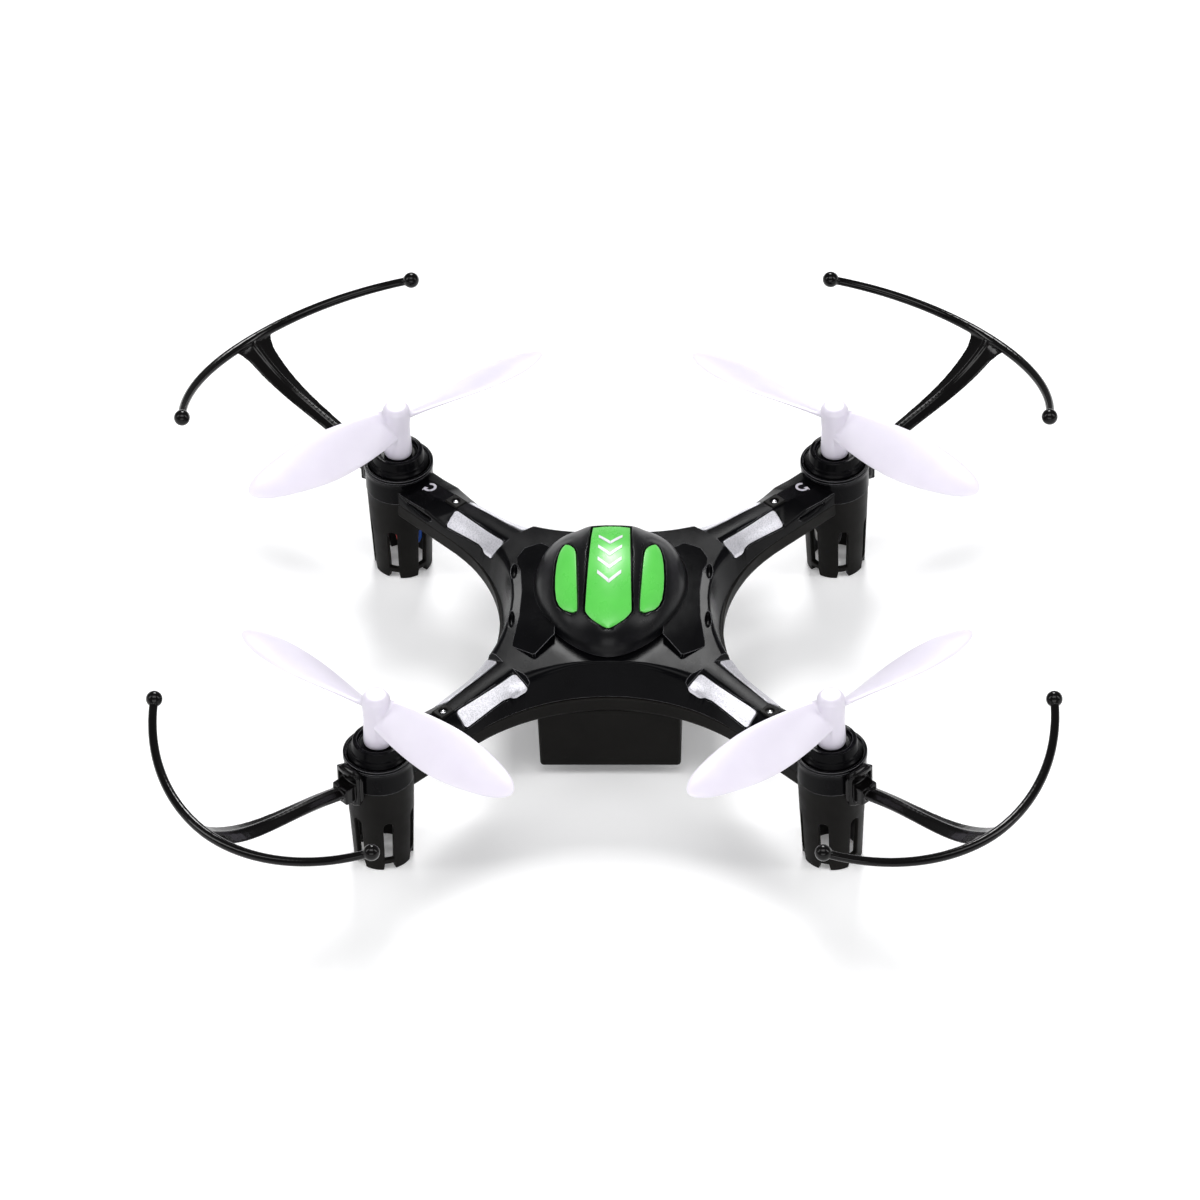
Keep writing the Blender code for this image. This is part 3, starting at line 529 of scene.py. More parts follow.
def upper_section(station, inset=0.0):
    """Half a section of the upper shell, from its rim to the middle of its ridge."""
    arm = ARM_HALF - inset
    low_edge = arm_edge(station, arm - 0.06, SPLIT_WAIST - inset - 0.06)
    rim = arm_edge(station, arm, SPLIT_WAIST - inset)
    points = [(*low_edge, PARTING_Z + SEAM), (*rim, PARTING_Z + 0.1)]
    if INLAY_START <= station:
        along, across = arm_edge(station, arm, SHOULDER_WAIST - inset)
        top = roof(along) - inset
        drop = flank_drop(station) - 0.25 * inset
        ridge = RIDGE_HALF - 0.7 * inset
        shoulder = corner_points((across, 0), (across, top - drop), (ridge, top), 0.28)
        edge = corner_points((across, top - drop), (ridge, top), (0, top), 0.2)
        points += [(along, w, z) for w, z in (*shoulder, edge[0], edge[2])]
    else:
        soft = between(station, [(13.5, SOFT_EDGE), (20.9, 1.55)])
        for turn in (0, 22.5, 45, 67.5, 90):
            trim = soft * (1 - cos(radians(turn)))
            along, across = arm_edge(station, arm - trim, SHOULDER_WAIST - inset - trim)
            points.append((along, across, roof(along) - inset - soft * (1 - sin(radians(turn)))))
    return [*points, (points[-1][0], 0.0, points[-1][2])]


def lower_section(station, inset=0.0):
    """Half a section of the lower shell's band, from its rim down to the middle of its belly."""
    arm, waist = ARM_HALF - inset, RIM_WAIST - inset
    floor = BELLY_Z + inset * 0.67
    points = []
    for trim, z in ((0.15, PARTING_Z - SEAM), (0.0, PARTING_Z - 0.16), (0.0, floor + 0.7),
                    (0.06, floor + 0.4), (0.21, floor + 0.15), (0.6, floor)):
        points.append((*arm_edge(station, arm - trim, waist - trim), z))
    return [*points, (points[-1][0], 0.0, floor)]


def pod_wall(across, radius=(POD_RADIUS + POD_BORE) / 2):
    """How far along an arm its pod's wall stands, at a distance across the arm."""
    return MOTOR_REACH - sqrt(radius ** 2 - across ** 2)


def star_shell(section):
    """An X-shaped shell, open on the side of its rim, from a function that gives half a cross-section."""
    bm = bmesh.new()
    middles = ([], [])
    for corner in ("front_right", "rear_right", "rear_left", "front_left"):
        skins = []
        for layer, inset in enumerate((0.0, WALL)):
            rows = []
            for station in STATIONS:
                half = section(station, inset)
                rows.append(half + [(r, -w, z) for r, w, z in reversed(half[:-1])])
            rows.append([(pod_wall(w), w, z) for r, w, z in rows[-1]])
            rows = [[bm.verts.new(on_arm(corner, *point)) for point in row] for row in rows]
            for near, far in zip(rows, rows[1:]):
                for i in range(len(near) - 1):
                    bm.faces.new((near[i], near[i + 1], far[i + 1], far[i]))
            middle = len(rows[0]) // 2
            middles[layer].extend((rows[0][middle + 1], rows[0][middle]))
            skins.append(rows)
        outer, inner = skins
        for edge in (0, -1):
            for k in range(len(outer) - 1):
                bm.faces.new((outer[k][edge], outer[k + 1][edge], inner[k + 1][edge], inner[k][edge]))
        for i in range(len(outer[-1]) - 1):
            bm.faces.new((outer[-1][i], outer[-1][i + 1], inner[-1][i + 1], inner[-1][i]))
    for ring in middles:
        bm.faces.new(ring)
    return bm


def flank_point(corner, side, station, down, lift):
    """A point on an arm's flank: down its slope from the ridge, then down its side wall."""
    across = arm_edge(station, ARM_HALF, SHOULDER_WAIST)[1]
    foot = arm_edge(station, ARM_HALF, SPLIT_WAIST)[1]
    ridge = Vector((RIDGE_HALF, roof(station)))
    shoulder = Vector((across, roof(station) - flank_drop(station)))
    wall = (Vector((foot, PARTING_Z)) - shoulder).normalized()
    slope = (shoulder - ridge).normalized()
    slant = (shoulder - ridge).length
    turn = max(0.0, min(1.0, (down - slant + 0.25) / 0.5))
    way = slope.lerp(wall, turn).normalized()
    place = ridge + slope * down if down < slant else shoulder + wall * (down - slant)
    place += Vector((-way.y, way.x)) * lift
    return on_arm(corner, station, side * place.x, place.y)


def smooth_step(value):
    """An even rise from 0 to 1."""
    value = max(0.0, min(1.0, value))
    return value * value * (3 - 2 * value)


def flank_slab(corner, side, margin, low_lift, high_lift, bm=None):
    """An arm inlay's outline as a slab: a band with round corners and a foot over the shoulder."""
    start, end = INLAY_START + 0.3 - margin, INLAY_END + margin
    radius = 0.55 + margin
    near = [start + step for step in (0, 0.06, 0.2, 0.4, 0.7, 1.1, 1.5, 1.9, 2.3, 2.8, 4, 6, 8)]
    rings = []
    for station in [*near, *(end - step for step in (1.5, 0.8, 0.4, 0.2, 0.06, 0))]:
        across = arm_edge(station, ARM_HALF, SHOULDER_WAIST)[1]
        slant = hypot(across - RIDGE_HALF, flank_drop(station))
        left = max(0.0, 1 - min(station - start, end - station) / radius)
        trim = radius * (1 - sqrt(1 - left * left))
        top_side = between(station, [(INLAY_START, 1.9), (INLAY_END, 1.3)])
        top = (top_side - RIDGE_HALF) / (across - RIDGE_HALF) * slant - margin + trim
        low = slant - 0.3 + 0.9 * smooth_step((INLAY_START + 3.6 - station) / 1.4) + margin - trim
        downs = [top + (low - top) * k / 6 for k in range(7)]
        crease = 0.0 if high_lift > 0.4 else 0.06
        outer = [flank_point(corner, side, station, d, high_lift + crease * sin(pi * min(1, k / 4.5) ** 2))
                 for k, d in enumerate(downs)]
        inner = [flank_point(corner, side, station, d, low_lift) for d in reversed(downs)]
        rings.append(outer + inner)
    return loft(rings, bm)


# Shells

def deck_slots():
    """Cutters for a slot in each side of an arm, under its deck."""
    low, high, near, far = 16.7, 17.3, 3.0, 4.6
    slots = bmesh.new()
    for corner in CORNERS:
        for side in (-1, 1):
            loft([[on_arm(corner, station, side * across, z)
                   for across, z in ((near, low), (far, low), (far, high), (near, high))]
                  for station in (DECK_START - 1.6, 41.6)], slots)
    return slots


def make_upper_shell():
    pockets = bmesh.new()
    for corner in CORNERS:
        for side in (-1, 1):
            flank_slab(corner, side, 0.2, -0.5, 0.9, pockets)
    scoops = bmesh.new()
    for side in (-1, 1):
        for y in (-5.2, 6.0):
            blob((side * 14.75, y, ROOF_Z - 0.1), (0.5, 1.9, 0.75), scoops)
    shell = finished(star_shell(upper_section), cuts=[pockets, scoops, deck_slots()])
    put("upper_shell", shell, "gloss_black", "airframe", "top_shell")
    for corner in CORNERS:
        for side, label in ((-1, "a"), (1, "b")):
            slab = finished(flank_slab(corner, side, 0.0, -0.4, 0.1), bevel=0.07)
            arm = f"{corner}_{label}"
            put(f"silver_inlay_{arm}", slab, "inlay_silver", "airframe", f"arm_inlay_{arm}")


def panel_slab(side):
    """A raised plate on one side of the roof, widest near its ends. Its top falls outwards."""
    inner = [(-13.5, 10.9), (-9.8, 8.1), (9.9, 8.7), (12.0, 10.8)]
    outer = [(-13.5, 11.3), (-11.0, 14.6), (-8.5, 14.2), (-4.5, 13.65), (1.3, 13.45), (6, 13.8), (8.7, 14.8),
             (11.5, 13.4), (12.0, 11.2)]
    rise, fall = 1.1, 0.175
    rings = []
    for y in sorted({row[0] for row in inner + outer} | {-12.2, -7, -2, 3.5}):
        a, b = between(y, inner), between(y, outer)
        xs = [a + (b - a) * i / 4 for i in range(5)]
        ring = [Vector((side * x, y, roof((x + abs(y)) / ROOT2) + rise - fall * (x - inner[1][1])))
                for x in xs]
        rings.append(ring + [Vector((side * x, y, ROOF_Z - 0.7)) for x in reversed(xs)])
    return loft(rings)


def make_side_panels():
    for side, label in ((-1, "left"), (1, "right")):
        name = f"side_panel_{label}"
        put(name, finished(panel_slab(side), bevel=0.26), "gloss_black", "airframe")


def slotted_tube(heights, outer, inner, holes, columns, droop=0.0):
    """A tube with holes. holes(angle, height) is true inside one; outer and inner give radii at a height."""
    bm = bmesh.new()
    made = {}

    def corner(outside, i, j):
        i %= len(columns)
        key = (outside, i, j)
        if key not in made:
            radius = (outer if outside else inner)(heights[j])
            angle = columns[i]
            z = heights[j]
            offset = slot_offset(angle)
            if droop and abs(z - SLOT_HIGH) < 0.01:
                z -= droop * min(1.0, abs(offset) / SLOT_ANGLE) ** 3
            if z == 0 and abs(abs(offset) - SLOT_ANGLE) < 1e-4:
                angle += copysign(radians(3), offset)
            made[key] = bm.verts.new((radius * cos(angle), radius * sin(angle), z))
        return made[key]

    solid = {}
    for i in range(len(columns)):
        following = columns[(i + 1) % len(columns)] + (2 * pi if i + 1 == len(columns) else 0)
        for j in range(len(heights) - 1):
            solid[i, j] = not holes((columns[i] + following) / 2, (heights[j] + heights[j + 1]) / 2)
    for (i, j), full in solid.items():
        if not full:
            continue
        square = [(i, j), (i + 1, j), (i + 1, j + 1), (i, j + 1)]
        neighbours = [(i, j - 1), ((i + 1) % len(columns), j), (i, j + 1), ((i - 1) % len(columns), j)]
        for outside in (0, 1):
            bm.faces.new([corner(outside, *p) for p in (square if outside else reversed(square))])
        for k, neighbour in enumerate(neighbours):
            if not solid.get(neighbour, False):
                a, b = square[k], square[(k + 1) % 4]
                bm.faces.new((corner(1, *b), corner(1, *a), corner(0, *a), corner(0, *b)))
    return bm


def slot_offset(angle):
    """Angle from the nearest of six evenly spaced slots; the first points outward."""
    step = pi / 3
    return (angle + step / 2) % step - step / 2


def sleeve_columns():
    """Angles round a pod with lines along the edges of its slots."""
    columns = []
    for k in range(6):
        middle = k * pi / 3
        columns += [middle + SLOT_ANGLE * t / 4 for t in range(-4, 4)]
        rest = pi / 3 - 2 * SLOT_ANGLE
        columns += [middle + SLOT_ANGLE + rest * t / 8 for t in range(8)]
    return columns


def sleeve_radius(z):
    return POD_FOOT_RADIUS + (POD_RADIUS - POD_FOOT_RADIUS) * min(1.0, z / TAPER_TOP_Z)


def bore_radius(z):
    return between(z, [(-1, 3.65), (0, 3.65), (3, 3.75), (8, POD_BORE), (30, POD_BORE)])


def faces_body(angle):
    """True on the side of a pod that its arm joins."""
    return abs((angle % (2 * pi)) - pi) < radians(30)


def in_sleeve_hole(angle, z):
    if faces_body(angle) and z > PASSAGE_LOW:
        return True
    in_slot = abs(slot_offset(angle)) < SLOT_ANGLE
    return in_slot and (z < NOTCH_HIGH or SLOT_LOW < z < SLOT_HIGH)


def make_pods():
    columns = sleeve_columns()
    heights = [0, NOTCH_HIGH, SLOT_LOW, 3.4, 5, 6.6, 8.2, SLOT_HIGH, 11, 12.4, PASSAGE_LOW, 14.6,
               PARTING_Z - SEAM]
    bm = slotted_tube(heights, sleeve_radius, bore_radius, in_sleeve_hole, columns, droop=0.5)
    sleeve = finished(bm, bevel=0.13)
    bead = POD_RADIUS + 0.12
    heights = [PARTING_Z + SEAM, 16.4, 17.6, 18.4, 19.0, 19.25, LEDGE_Z]
    ring = slotted_tube(heights, lambda z: bead if z > 19.1 else POD_RADIUS, bore_radius,
                        lambda angle, z: faces_body(angle) and z < 17.6, columns)
    rim = [(bead, LEDGE_Z - 0.3), (bead, POD_RIM_Z), (LEDGE_RADIUS, POD_RIM_Z), (LEDGE_RADIUS, LEDGE_Z),
           (POD_BORE, LEDGE_Z), (POD_BORE, LEDGE_Z - 0.3)]
    lathe(softened(rim, 0.12), 96, bm=ring)
    put_on_motors(("motor_sleeve", sleeve, "matt_black", "airframe"),
                  ("pod_ring", finished(ring, smooth=30), "gloss_black", "airframe"))


def make_arm_details():
    """A boss with a steel pin on each ridge, and a turning arrow beside each pod."""
    reach, half_long, half_wide, pin_radius = 34.4, 1.3, 1.1, 0.5
    top = roof(reach) + 0.3
    boss = block((reach - half_long, -half_wide, top - 1.4), (reach + half_long, half_wide, top))
    hole_radius = pin_radius + 0.12
    hole = lathe([(0, top - 0.8), (hole_radius, top - 0.8), (hole_radius, top + 1), (0, top + 1)], 24,
                 (reach, 0))
    boss = finished(boss, cuts=[hole], bevel=0.14)
    dome = [(0, top - 1), (pin_radius, top - 1), (pin_radius, top - 0.35), (0.38, top - 0.12),
            (0.2, top - 0.04), (0, top - 0.02)]
    pin = mesh_of(lathe(dome, 24, (reach, 0)), 60)
    for corner, (side, end) in CORNERS.items():
        turn = outward(corner)
        put(f"arm_boss_{corner}", boss, "matt_black", "airframe", turn=turn)
        put(f"arm_pin_{corner}", pin, "shaft_steel", "airframe", turn=turn)
        arrow = mesh_of(turning_arrow(side * end))
        put(f"turning_arrow_{corner}", arrow, "propeller_white", "airframe", turn=turn)


def turning_arrow(hand):
    """A flat arrow bent round most of a circle, lying on the arm's deck."""
    reach, radius, half_width, head_half, head_turn = 40.3, 0.82, 0.2, 0.52, 0.62
    outer, inner = radius + half_width, radius - half_width
    turns = [radians(40 + 250 * k / 16) for k in range(17)]
    slabs = [[(outer, a), (outer, b), (inner, b), (inner, a)] for a, b in zip(turns, turns[1:])]
    end = turns[-1]
    slabs.append([(radius + head_half, end), (radius, end + head_turn), (radius - head_half, end)])
    bm = bmesh.new()
    for slab in slabs:
        flat = [(r * cos(t), r * sin(t)) for r, t in slab]
        on_deck = [Vector((reach + x, hand * y, roof(reach) - ROOF_FALL * x)) for x, y in flat]
        low, high = ([bm.verts.new(point + Vector((0, 0, up))) for point in on_deck] for up in (-0.1, 0.035))
        bm.faces.new(low)
        bm.faces.new(high)
        skin(bm, low, high)
    bmesh.ops.remove_doubles(bm, verts=bm.verts, dist=1e-4)
    return bm


def make_lower_shell():
    wells = bmesh.new()
    for corner in CORNERS:
        low, high = box_of(f"shell_screw_{corner}")
        well = [(0, BELLY_Z - 1), (1.55, BELLY_Z - 1), (1.55, SCREW_LOW + 0.95), (0, SCREW_LOW + 0.95)]
        lathe(well, 32, ((low.x + high.x) / 2, (low.y + high.y) / 2), wells)
    opening = block((-9.5, CELL_LOW.y, BELLY_Z - 1), (9.5, CELL_HIGH.y, BELLY_Z + 0.3))
    shell = finished(star_shell(lower_section), cuts=[wells, opening])
    put("lower_shell", shell, "matt_black", "airframe", "bottom_shell")
    make_battery_box()


def make_battery_box():
    """A box under the belly, open at the rear, with a thumb notch, grooves below and a shoulder round it."""
    half, front, rear, low, high = 10.8, -17.0, 16.8, 1.9, BELLY_Z + 0.2
    draft, wall = 0.2, 1.2
    box = loft([[Vector((x * (half + grow), y, z)) for x, y in
                 ((-1, front - grow), (1, front - grow), (1, rear), (-1, rear))]
                for z, grow in ((low, -draft), (high, 0.0))])
    bay_half = CELL_HIGH.x + 0.5
    bay = block((-bay_half, front + wall, CELL_LOW.z - 0.4), (bay_half, rear + 3, CELL_HIGH.z + 0.5))
    thumb = bmesh.new()
    blob((0, rear + 1.2, low - 0.5), (4.2, 3.4, 2.9), thumb, 40)
    grooves = bmesh.new()
    for x in (-6.5, -3.25, 0, 3.25, 6.5):
        block((x - 0.35, -9, low - 1), (x + 0.35, 7, low + 0.22), grooves)
    put("battery_box", carved(finished(box, bevel=0.55), [bay, thumb, grooves]), "matt_black", "airframe")
    shoulder = block((-12.2, -15.5, 11.8), (12.2, 15.5, high))
    room = block((-10, -14, 11), (10, 20, 14))
    put("box_shoulder", finished(shoulder, cuts=[room], bevel=0.3), "matt_black", "airframe")


def carved(mesh, cuts):
    """Cut solids out of a finished mesh."""
    bm = bmesh.new()
    bm.from_mesh(mesh)
    bmesh.ops.scale(bm, vec=(1 / MM,) * 3, verts=bm.verts)
    bpy.data.meshes.remove(mesh)
    return finished(bm, cuts=cuts, smooth=40)


# Canopy

def canopy_share(x, y):
    """How far a plan point lies from the dome's middle (0) to its outline (1)."""
    dy = y - CANOPY_CENTRE
    reach, power = (CANOPY_NOSE, 1.7) if dy < 0 else (CANOPY_TAIL, 2.5)
    return (abs(x / CANOPY_HALF) ** power + abs(dy / reach) ** power) ** (1 / power)


def canopy_surface(x, y):
    share = min(canopy_share(x, y), 1.0)
    return Vector((x, y, CANOPY_LOW.z + CANOPY_HEIGHT * sqrt(1 - share * share)))


def canopy_normal(x, y):
    step = 0.05
    across = canopy_surface(x + step, y) - canopy_surface(x - step, y)
    along = canopy_surface(x, y + step) - canopy_surface(x, y - step)
    return across.cross(along).normalized()


def off_dome(x, y, lift):
    """A point at a distance out from the dome."""
    return canopy_surface(x, y) + canopy_normal(x, y) * lift


def outlines():
    """Each green piece's rows of (y, least x, greatest x)."""
    stripe = [(y, 3.12 - 0.035 * y) for y in (9.8, 6.5, 3, -0.5, -4, -7, -8.4)]
    stripe += [(-8.9, 3.38), (-9.4, 3.1), (-10.2, 2.45), (-10.9, 1.6), (-11.4, 0.85), (-11.7, 0.2)]
    inlay = [(5.3, 6.5, 6.9), (5.0, 6.15, 7.2), (4.5, 5.8, 7.42), (3.8, 5.42, 7.62), (2.9, 5.2, 7.8),
             (1.2, 5.08, 8.0), (-1.2, 4.98, 8.12), (-3.4, 4.88, 8.08), (-5.2, 4.79, 7.85), (-6.4, 4.73, 7.4),
             (-7.3, 4.69, 6.75), (-8.0, 4.68, 5.9), (-8.4, 4.75, 5.25)]
    return {"canopy_stripe": [(y, -half, half) for y, half in stripe],
            "canopy_inlay_left": [(y, -far, -near) for y, near, far in inlay],
            "canopy_inlay_right": inlay}


def edge_distance(x, y, rows):
    """Distance outside an outline of rows, negative inside it."""
    polygon = [Vector((low, at)) for at, low, high in rows]
    polygon += [Vector((high, at)) for at, low, high in reversed(rows)]
    point = Vector((x, y))
    nearest = 1e9
    inside = False
    for a, b in zip(polygon, polygon[1:] + polygon[:1]):
        along = b - a
        share = max(0.0, min(1.0, (point - a).dot(along) / max(along.length_squared, 1e-9)))
        nearest = min(nearest, (point - a - along * share).length)
        if (a.y > y) != (b.y > y) and x < a.x + (y - a.y) / (b.y - a.y) * (b.x - a.x):
            inside = not inside
    return -nearest if inside else nearest


def dome_slab(rows, margin, low_lift, high_lift, columns=10, crown=0.0):
    """A slab on the dome from rows of (y, least x, greatest x), grown by a margin."""
    rings = []
    for k, (y, low, high) in enumerate(rows):
        end = 1 if k == 0 else -1 if k == len(rows) - 1 else 0
        y += end * margin
        xs = [low - margin + (high - low + 2 * margin) * i / columns for i in range(columns + 1)]
        ring = []
        for i, x in enumerate(xs):
            bulge = crown * sin(pi * i / columns)
            ring.append(off_dome(x, y, high_lift + bulge))
        ring += [off_dome(x, y, low_lift) for x in reversed(xs)]
        rings.append(ring)
    return loft(rings)


def relief(x, y, shapes):
    """Height over the plain dome: a ridge round the stripe, and a low rim round the side inlays."""
    ridge = 0.4 * (1 - smooth_step((edge_distance(x, y, shapes["canopy_stripe"]) - 0.4) / 2.4))
    sides = min(edge_distance(x, y, shapes[f"canopy_inlay_{side}"]) for side in ("left", "right"))
    return hypot(ridge, 0.15 * (1 - smooth_step((sides - 0.2) / 1.8)))


def make_canopy():
    """The dome as an outer and an inner skin, cut for its green inserts."""
    shapes = outlines()
    bm = bmesh.new()
    sides, steps = 176, 44
    skins = []
    for inset in (0.0, CANOPY_WALL):
        rows = []
        for k in range(steps):
            tilt = pi / 2 * k / steps
            row = []
            for i in range(sides):
                angle = 2 * pi * i / sides
                x, y = cos(angle), sin(angle)
                reach = 1 / canopy_share(x, y + CANOPY_CENTRE) - inset
                place = Vector((x * reach * cos(tilt), CANOPY_CENTRE + y * reach * cos(tilt),
                                CANOPY_LOW.z + (CANOPY_HEIGHT - inset) * sin(tilt)))
                if not inset:
                    if 0 < k:
                        place += canopy_normal(place.x, place.y) * relief(place.x, place.y, shapes)
                    place = flare(place, angle, tilt)
                row.append(bm.verts.new(place))
            rows.append(row)
        skins.append(rows)
    outer, inner = skins
    for rows in (outer, inner):
        for low, high in zip(rows, rows[1:]):
            skin(bm, low, high)
    skin(bm, outer[0], inner[0])
    for rows, depth in ((outer, -relief(0, CANOPY_CENTRE, shapes)), (inner, CANOPY_WALL)):
        pole = bm.verts.new((0, CANOPY_CENTRE, CANOPY_LOW.z + CANOPY_HEIGHT - depth))
        for i in range(sides):
            bm.faces.new((rows[-1][i], rows[-1][(i + 1) % sides], pole))
    cuts = [dome_slab(rows, 0.26, -0.75, 1.5) for rows in shapes.values()]
    put("canopy_dome", finished(bm, cuts=cuts, smooth=45), "canopy_black", "airframe", "canopy")
    for name, rows in shapes.items():
        slab = dome_slab(rows, 0.0, -0.45, 0.2 if name == "canopy_stripe" else 0.12, crown=0.12)
        put(f"{name}_insert", finished(slab, bevel=0.13, smooth=45), "inlay_green", "airframe", name)
    make_chevrons()


def flare(place, angle, tilt):
    """Turn the dome's lowest stretch out into a thin lip."""
    share = max(0.0, 1 - tilt / radians(7))
    out = Vector((cos(angle), sin(angle), 0))
    return place + out * 0.28 * share ** 2


def make_chevrons():
    """Plain arrow strokes on the stripe, pointing forward."""
    bm = bmesh.new()
    for tip in (4.1, 1.3, -1.5, -4.3):
        for side in (-1, 1):
            rings = []
            for k in range(9):
                x = side * (0.02 + 1.75 * k / 8)
                y = tip + 1.15 * abs(x)
                bulge = 0.2 + 0.12 * sin(pi * (x + 3.1) / 6.2)
                rings.append([off_dome(x, y + dy, bulge + up)
                              for dy, up in ((0.36, -0.1), (-0.36, -0.1), (-0.36, 0.03), (0.36, 0.03))])
            loft(rings, bm)
    put("stripe_chevrons", mesh_of(bm), "propeller_white", "airframe")


# Motors and propellers

def make_motors():
    radius = box_of("motor_can_front_right")[1].x - MOTORS["front_right"].x
    bearing, foot = 0.62, SHAFT_LOW - 0.3
    can = [(0, CAN_LOW), (radius, CAN_LOW), (radius, CAN_HIGH - 0.25), (radius - 0.35, CAN_HIGH),
           (1.5, CAN_HIGH), (1.45, CAN_HIGH - 0.12), (1.2, CAN_HIGH - 0.12), (1.15, CAN_HIGH),
           (bearing, CAN_HIGH), (bearing, foot), (0, foot)]
    cap = [(0, CAP_LOW), (1.0, CAP_LOW), (1.1, CAP_LOW + 0.25), (1.9, CAP_LOW + 0.25), (2.0, CAP_LOW),
           (radius - 0.3, CAP_LOW), (radius - 0.3, CAN_LOW - 0.05), (0, CAN_LOW - 0.05)]
    neck, lip = POD_BORE - 0.2, LEDGE_RADIUS - 0.3
    collar = [(radius + 0.3, COLLAR_LOW), (neck, COLLAR_LOW), (neck, LEDGE_Z + 0.05), (lip, LEDGE_Z + 0.05),
              (lip, LEDGE_Z + 0.55), (4.25, LEDGE_Z + 0.8), (4.2, LEDGE_Z + 1.2), (4.05, LEDGE_Z + 1.3),
              (3.8, COLLAR_HIGH - 0.1), (3.7, COLLAR_HIGH), (radius + 0.2, COLLAR_HIGH),
              (radius, CAN_HIGH + 0.45), (2.6, CAN_HIGH + 0.38), (0.9, CAN_HIGH + 0.38),
              (0.9, CAN_HIGH + 0.12), (radius + 0.25, CAN_HIGH + 0.12)]
    shaft = [(0, SHAFT_LOW), (0.5, SHAFT_LOW), (0.5, SHAFT_HIGH - 0.15), (0.35, SHAFT_HIGH), (0, SHAFT_HIGH)]
    can = mesh_of(lathe(softened(can, 0.12), 64), 30)
    cap = mesh_of(lathe(softened(cap, 0.1), 48), 30)
    collar = mesh_of(lathe(softened(collar, 0.1), 72), 30)
    shaft = mesh_of(lathe(shaft, 32), 30)
    put_on_motors(("can", can, "motor_steel", "airframe", "motor_can_{}"),
                  ("end_cap", cap, "ivory_plastic", "airframe", "motor_end_cap_{}"),
                  ("collar", collar, "gloss_black", "airframe", "motor_collar_{}"),
                  ("shaft", shaft, "shaft_steel", "rotor_{}", "motor_shaft_{}"), turned=False)


def blade_rings(hand, turn):
    """Sections of one blade from inside the hub to its rounded tip."""
    spin = Matrix.Rotation(turn, 3, "Z")
    rings = []
    for k in range(31):
        share = 0.04 + 0.96 * sin(pi / 2 * k / 30)
        swell = 0.55 + 0.45 * sin(pi / 2 * min(1.0, share / 0.58))
        taper = sqrt(max(0.008, 1 - max(0.0, (share - 0.45) / 0.55) ** 2.1))
        chord = BLADE_CHORD * swell * taper
        pitch = radians(52 - 38 * min(1.0, share * 1.25) ** 0.7)
        thick = (1.05 - 0.62 * share) * min(1.0, taper * 2)
        ring = []
        for i in range(28):
            turn_round = 2 * pi * i / 28
            along = 0.5 * cos(turn_round)
            side = sin(turn_round) * (1 + 0.25 * cos(turn_round))
            lift = 0.05 * chord * (1 - 4 * along * along) + 0.5 * side * thick
            forward = along * chord
            ring.append(spin @ Vector((share * BLADE_REACH,
                                       hand * (forward * cos(pitch) - lift * sin(pitch)),
                                       forward * sin(pitch) + lift * cos(pitch))))
        rings.append(ring)
    return rings


def make_propellers():
    low, high, grip = (z - BLADE_Z for z in (HUB_LOW, HUB_HIGH, SHAFT_HIGH + 0.1))
    bore = 0.55
    outline = [(bore, low), (2.1, low), (2.16, low + 0.8), (2.0, high - 4.4), (2.12, high - 2.2),
               (2.1, high - 0.8), (1.6, high - 0.02), (1.1, high), (0, high), (0, grip), (bore, grip)]
    meshes = {}
    for hand in (-1, 1):
        blades = [loft(blade_rings(hand, turn)) for turn in (0, pi)]
        hub = lathe(softened(outline, 0.22), 64)
        meshes[hand] = finished(hub, joins=blades, smooth=42)
    for corner, place in MOTORS.items():
        side, end = CORNERS[corner]
        put(f"prop_{corner}", meshes[side * end], "propeller_white", f"rotor_{corner}", f"propeller_{corner}",
            place=place, turn=radians(BLADE_ANGLES[corner]))


# Guards

def strut_height(share):
    """The strut leaves the clip almost level and curls up into the bow."""
    return 16 + 3 * (1 - (1 - share) ** 3) + 5.7 * share ** 4.2


def guard_strut():
    rings = []
    root = CLIP_OUTER - 0.7
    for k in range(25):
        share = k / 24
        reach = root + share * (BOW_REACH - root)
        rise = strut_height(min(1, share + 0.02)) - strut_height(max(0, share - 0.02))
        run = 0.04 * (BOW_REACH - root) * (0.5 if share in (0, 1) else 1)
        up = Vector((-rise, 0, run)).normalized()
        width = 2.6 + 3.0 * share ** 2.5 + 2.2 * max(0.0, (share - 0.9) / 0.1) ** 2
        thick = 2.2 - 1.1 * share
        middle = Vector((reach, 0, strut_height(share)))
        profile = ((-0.5, -0.05), (-0.49, 0.12), (-0.2, 0.28), (-0.09, 0.34), (-0.05, 0.52), (0.05, 0.52),
                   (0.09, 0.34), (0.2, 0.28), (0.49, 0.12), (0.5, -0.05), (0.34, -0.4), (-0.34, -0.4))
        rings.append([middle + Vector((0, y * width, 0)) + up * z * thick for y, z in profile])
    return loft(rings)


def clip_arc(span, low, high, outer, trim=0.0):
    """A plate that curves round a motor pod between two angles. Its corners are cut by trim."""
    rings = []
    for k in range(25):
        angle = span[0] + (span[1] - span[0]) * k / 24
        cut = trim * abs(k / 12 - 1) ** 5
        rings.append([Vector((r * cos(angle), r * sin(angle), z))
                      for r, z in ((CLIP_INNER, low + cut), (outer, low + cut), (outer, high - cut),
                                   (CLIP_INNER, high - cut))])
    return loft(rings)


